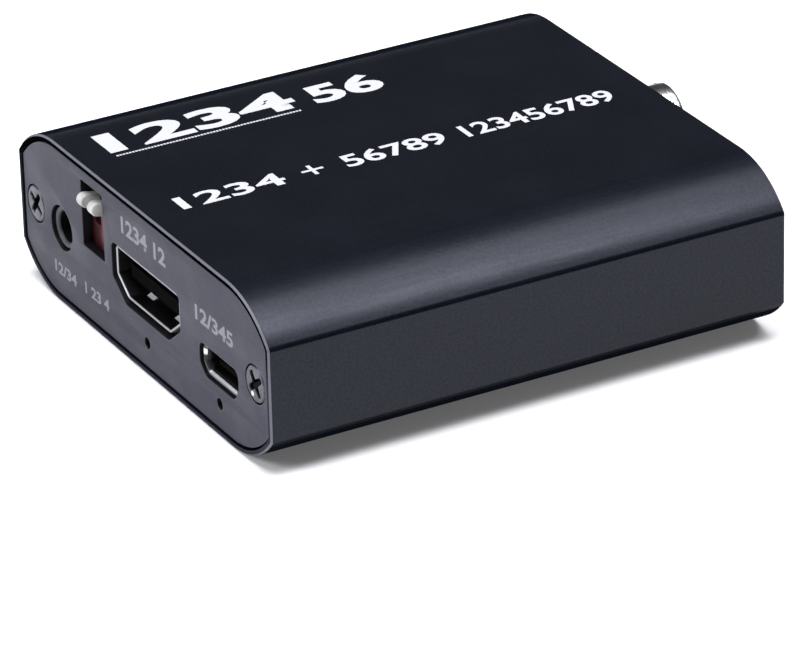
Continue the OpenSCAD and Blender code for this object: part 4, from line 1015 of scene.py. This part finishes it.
def studio_floor():
    r = 6
    mesh = bpy.data.meshes.new("floor")
    mesh.from_pydata([(-r, -r, 0), (r, -r, 0), (r, r, 0), (-r, r, 0)], [], [(0, 1, 2, 3)])
    floor = add_object("floor", mesh)
    s = Shade("floor_pale", (0.9, 0.9, 0.9), roughness=0.9, specular=0.0)
    # it glows a little, but only for the camera and in what shines or lets light through
    path = s.node("ShaderNodeLightPath").outputs
    seen = s.math("MAXIMUM", path["Is Camera Ray"],
                  s.math("MAXIMUM", path["Is Glossy Ray"], path["Is Transmission Ray"]))
    s.set("Emission Color", (1, 1, 1, 1))
    s.link(s.math("MULTIPLY", seen, 0.1), s.shader.inputs["Emission Strength"])
    mesh.materials.append(s.material)


def studio_world():
    """Pale at the horizon, dark above it and paler again overhead."""
    world = bpy.data.worlds.new("studio")
    bpy.context.scene.world = world
    world.use_nodes = True
    tree = world.node_tree
    background = tree.nodes["Background"]
    coords = tree.nodes.new("ShaderNodeTexCoord")
    split = tree.nodes.new("ShaderNodeSeparateXYZ")
    tree.links.new(coords.outputs["Generated"], split.inputs[0])
    ramp = tree.nodes.new("ShaderNodeValToRGB")
    tree.links.new(split.outputs["Z"], ramp.inputs[0])
    stops = ramp.color_ramp.elements
    stops[0].position, stops[0].color = 0.05, (0.9, 0.9, 0.91, 1)
    stops[1].position, stops[1].color = 1.0, (0.6, 0.6, 0.62, 1)
    for position, value in ((0.12, 0.14), (0.2, 0.05), (0.62, 0.05), (0.9, 0.3)):
        stop = stops.new(position)
        stop.color = (value, value, value * 1.03, 1)
    tree.links.new(ramp.outputs[0], background.inputs["Color"])
    background.inputs["Strength"].default_value = 1.0


def softbox(name, position, size, watts, colour=(0.95, 0.95, 1.0)):
    """A rectangular lamp that looks at the middle of the object."""
    light = bpy.data.lights.new(name, "AREA")
    light.shape = "RECTANGLE"
    light.size, light.size_y = size
    light.energy = watts
    light.color = colour
    obj = add_object(name, light)
    obj.location = position
    direction = Vector((0, 0, 0.01)) - Vector(position)
    obj.rotation_euler = direction.to_track_quat("-Z", "Y").to_euler()


def camera():
    """The camera that was fitted to the photograph; its focal length is in pixels of an 800 wide picture."""
    focal_px, image_width, sensor = 5871.22, 800, 36
    data = bpy.data.cameras.new("camera")
    data.sensor_fit = "HORIZONTAL"
    data.sensor_width = sensor
    data.lens = focal_px * sensor / image_width
    data.clip_start = 0.01
    data.clip_end = 50
    obj = add_object("camera", data)
    right = (0.48588352, 0.87369124, -0.02410017)
    up = (-0.37701726, 0.23438673, 0.89605851)
    back = (0.78852723, -0.42629389, 0.44328133)
    place = (0.503347, -0.272086, 0.280766)
    obj.matrix_world = Matrix([(right[i], up[i], back[i], place[i]) for i in range(3)] + [(0, 0, 0, 1)])
    bpy.context.scene.camera = obj


studio_floor()
studio_world()
softbox("overhead", (0.05, -0.15, 1.0), (0.6, 0.6), 9.5, (1, 1, 1))
softbox("shoulder_wide", (-0.02, 0.3, 0.75), (0.3, 0.32), 1.75)
softbox("shoulder_edge", (0.255, 0.3, 0.71), (0.14, 0.32), 3.12)
softbox("front_left", (-0.3, -0.85, 0.5), (0.5, 0.4), 6.0)
camera()
bpy.context.scene.view_settings.view_transform = "Standard"

bpy.context.view_layer.update()
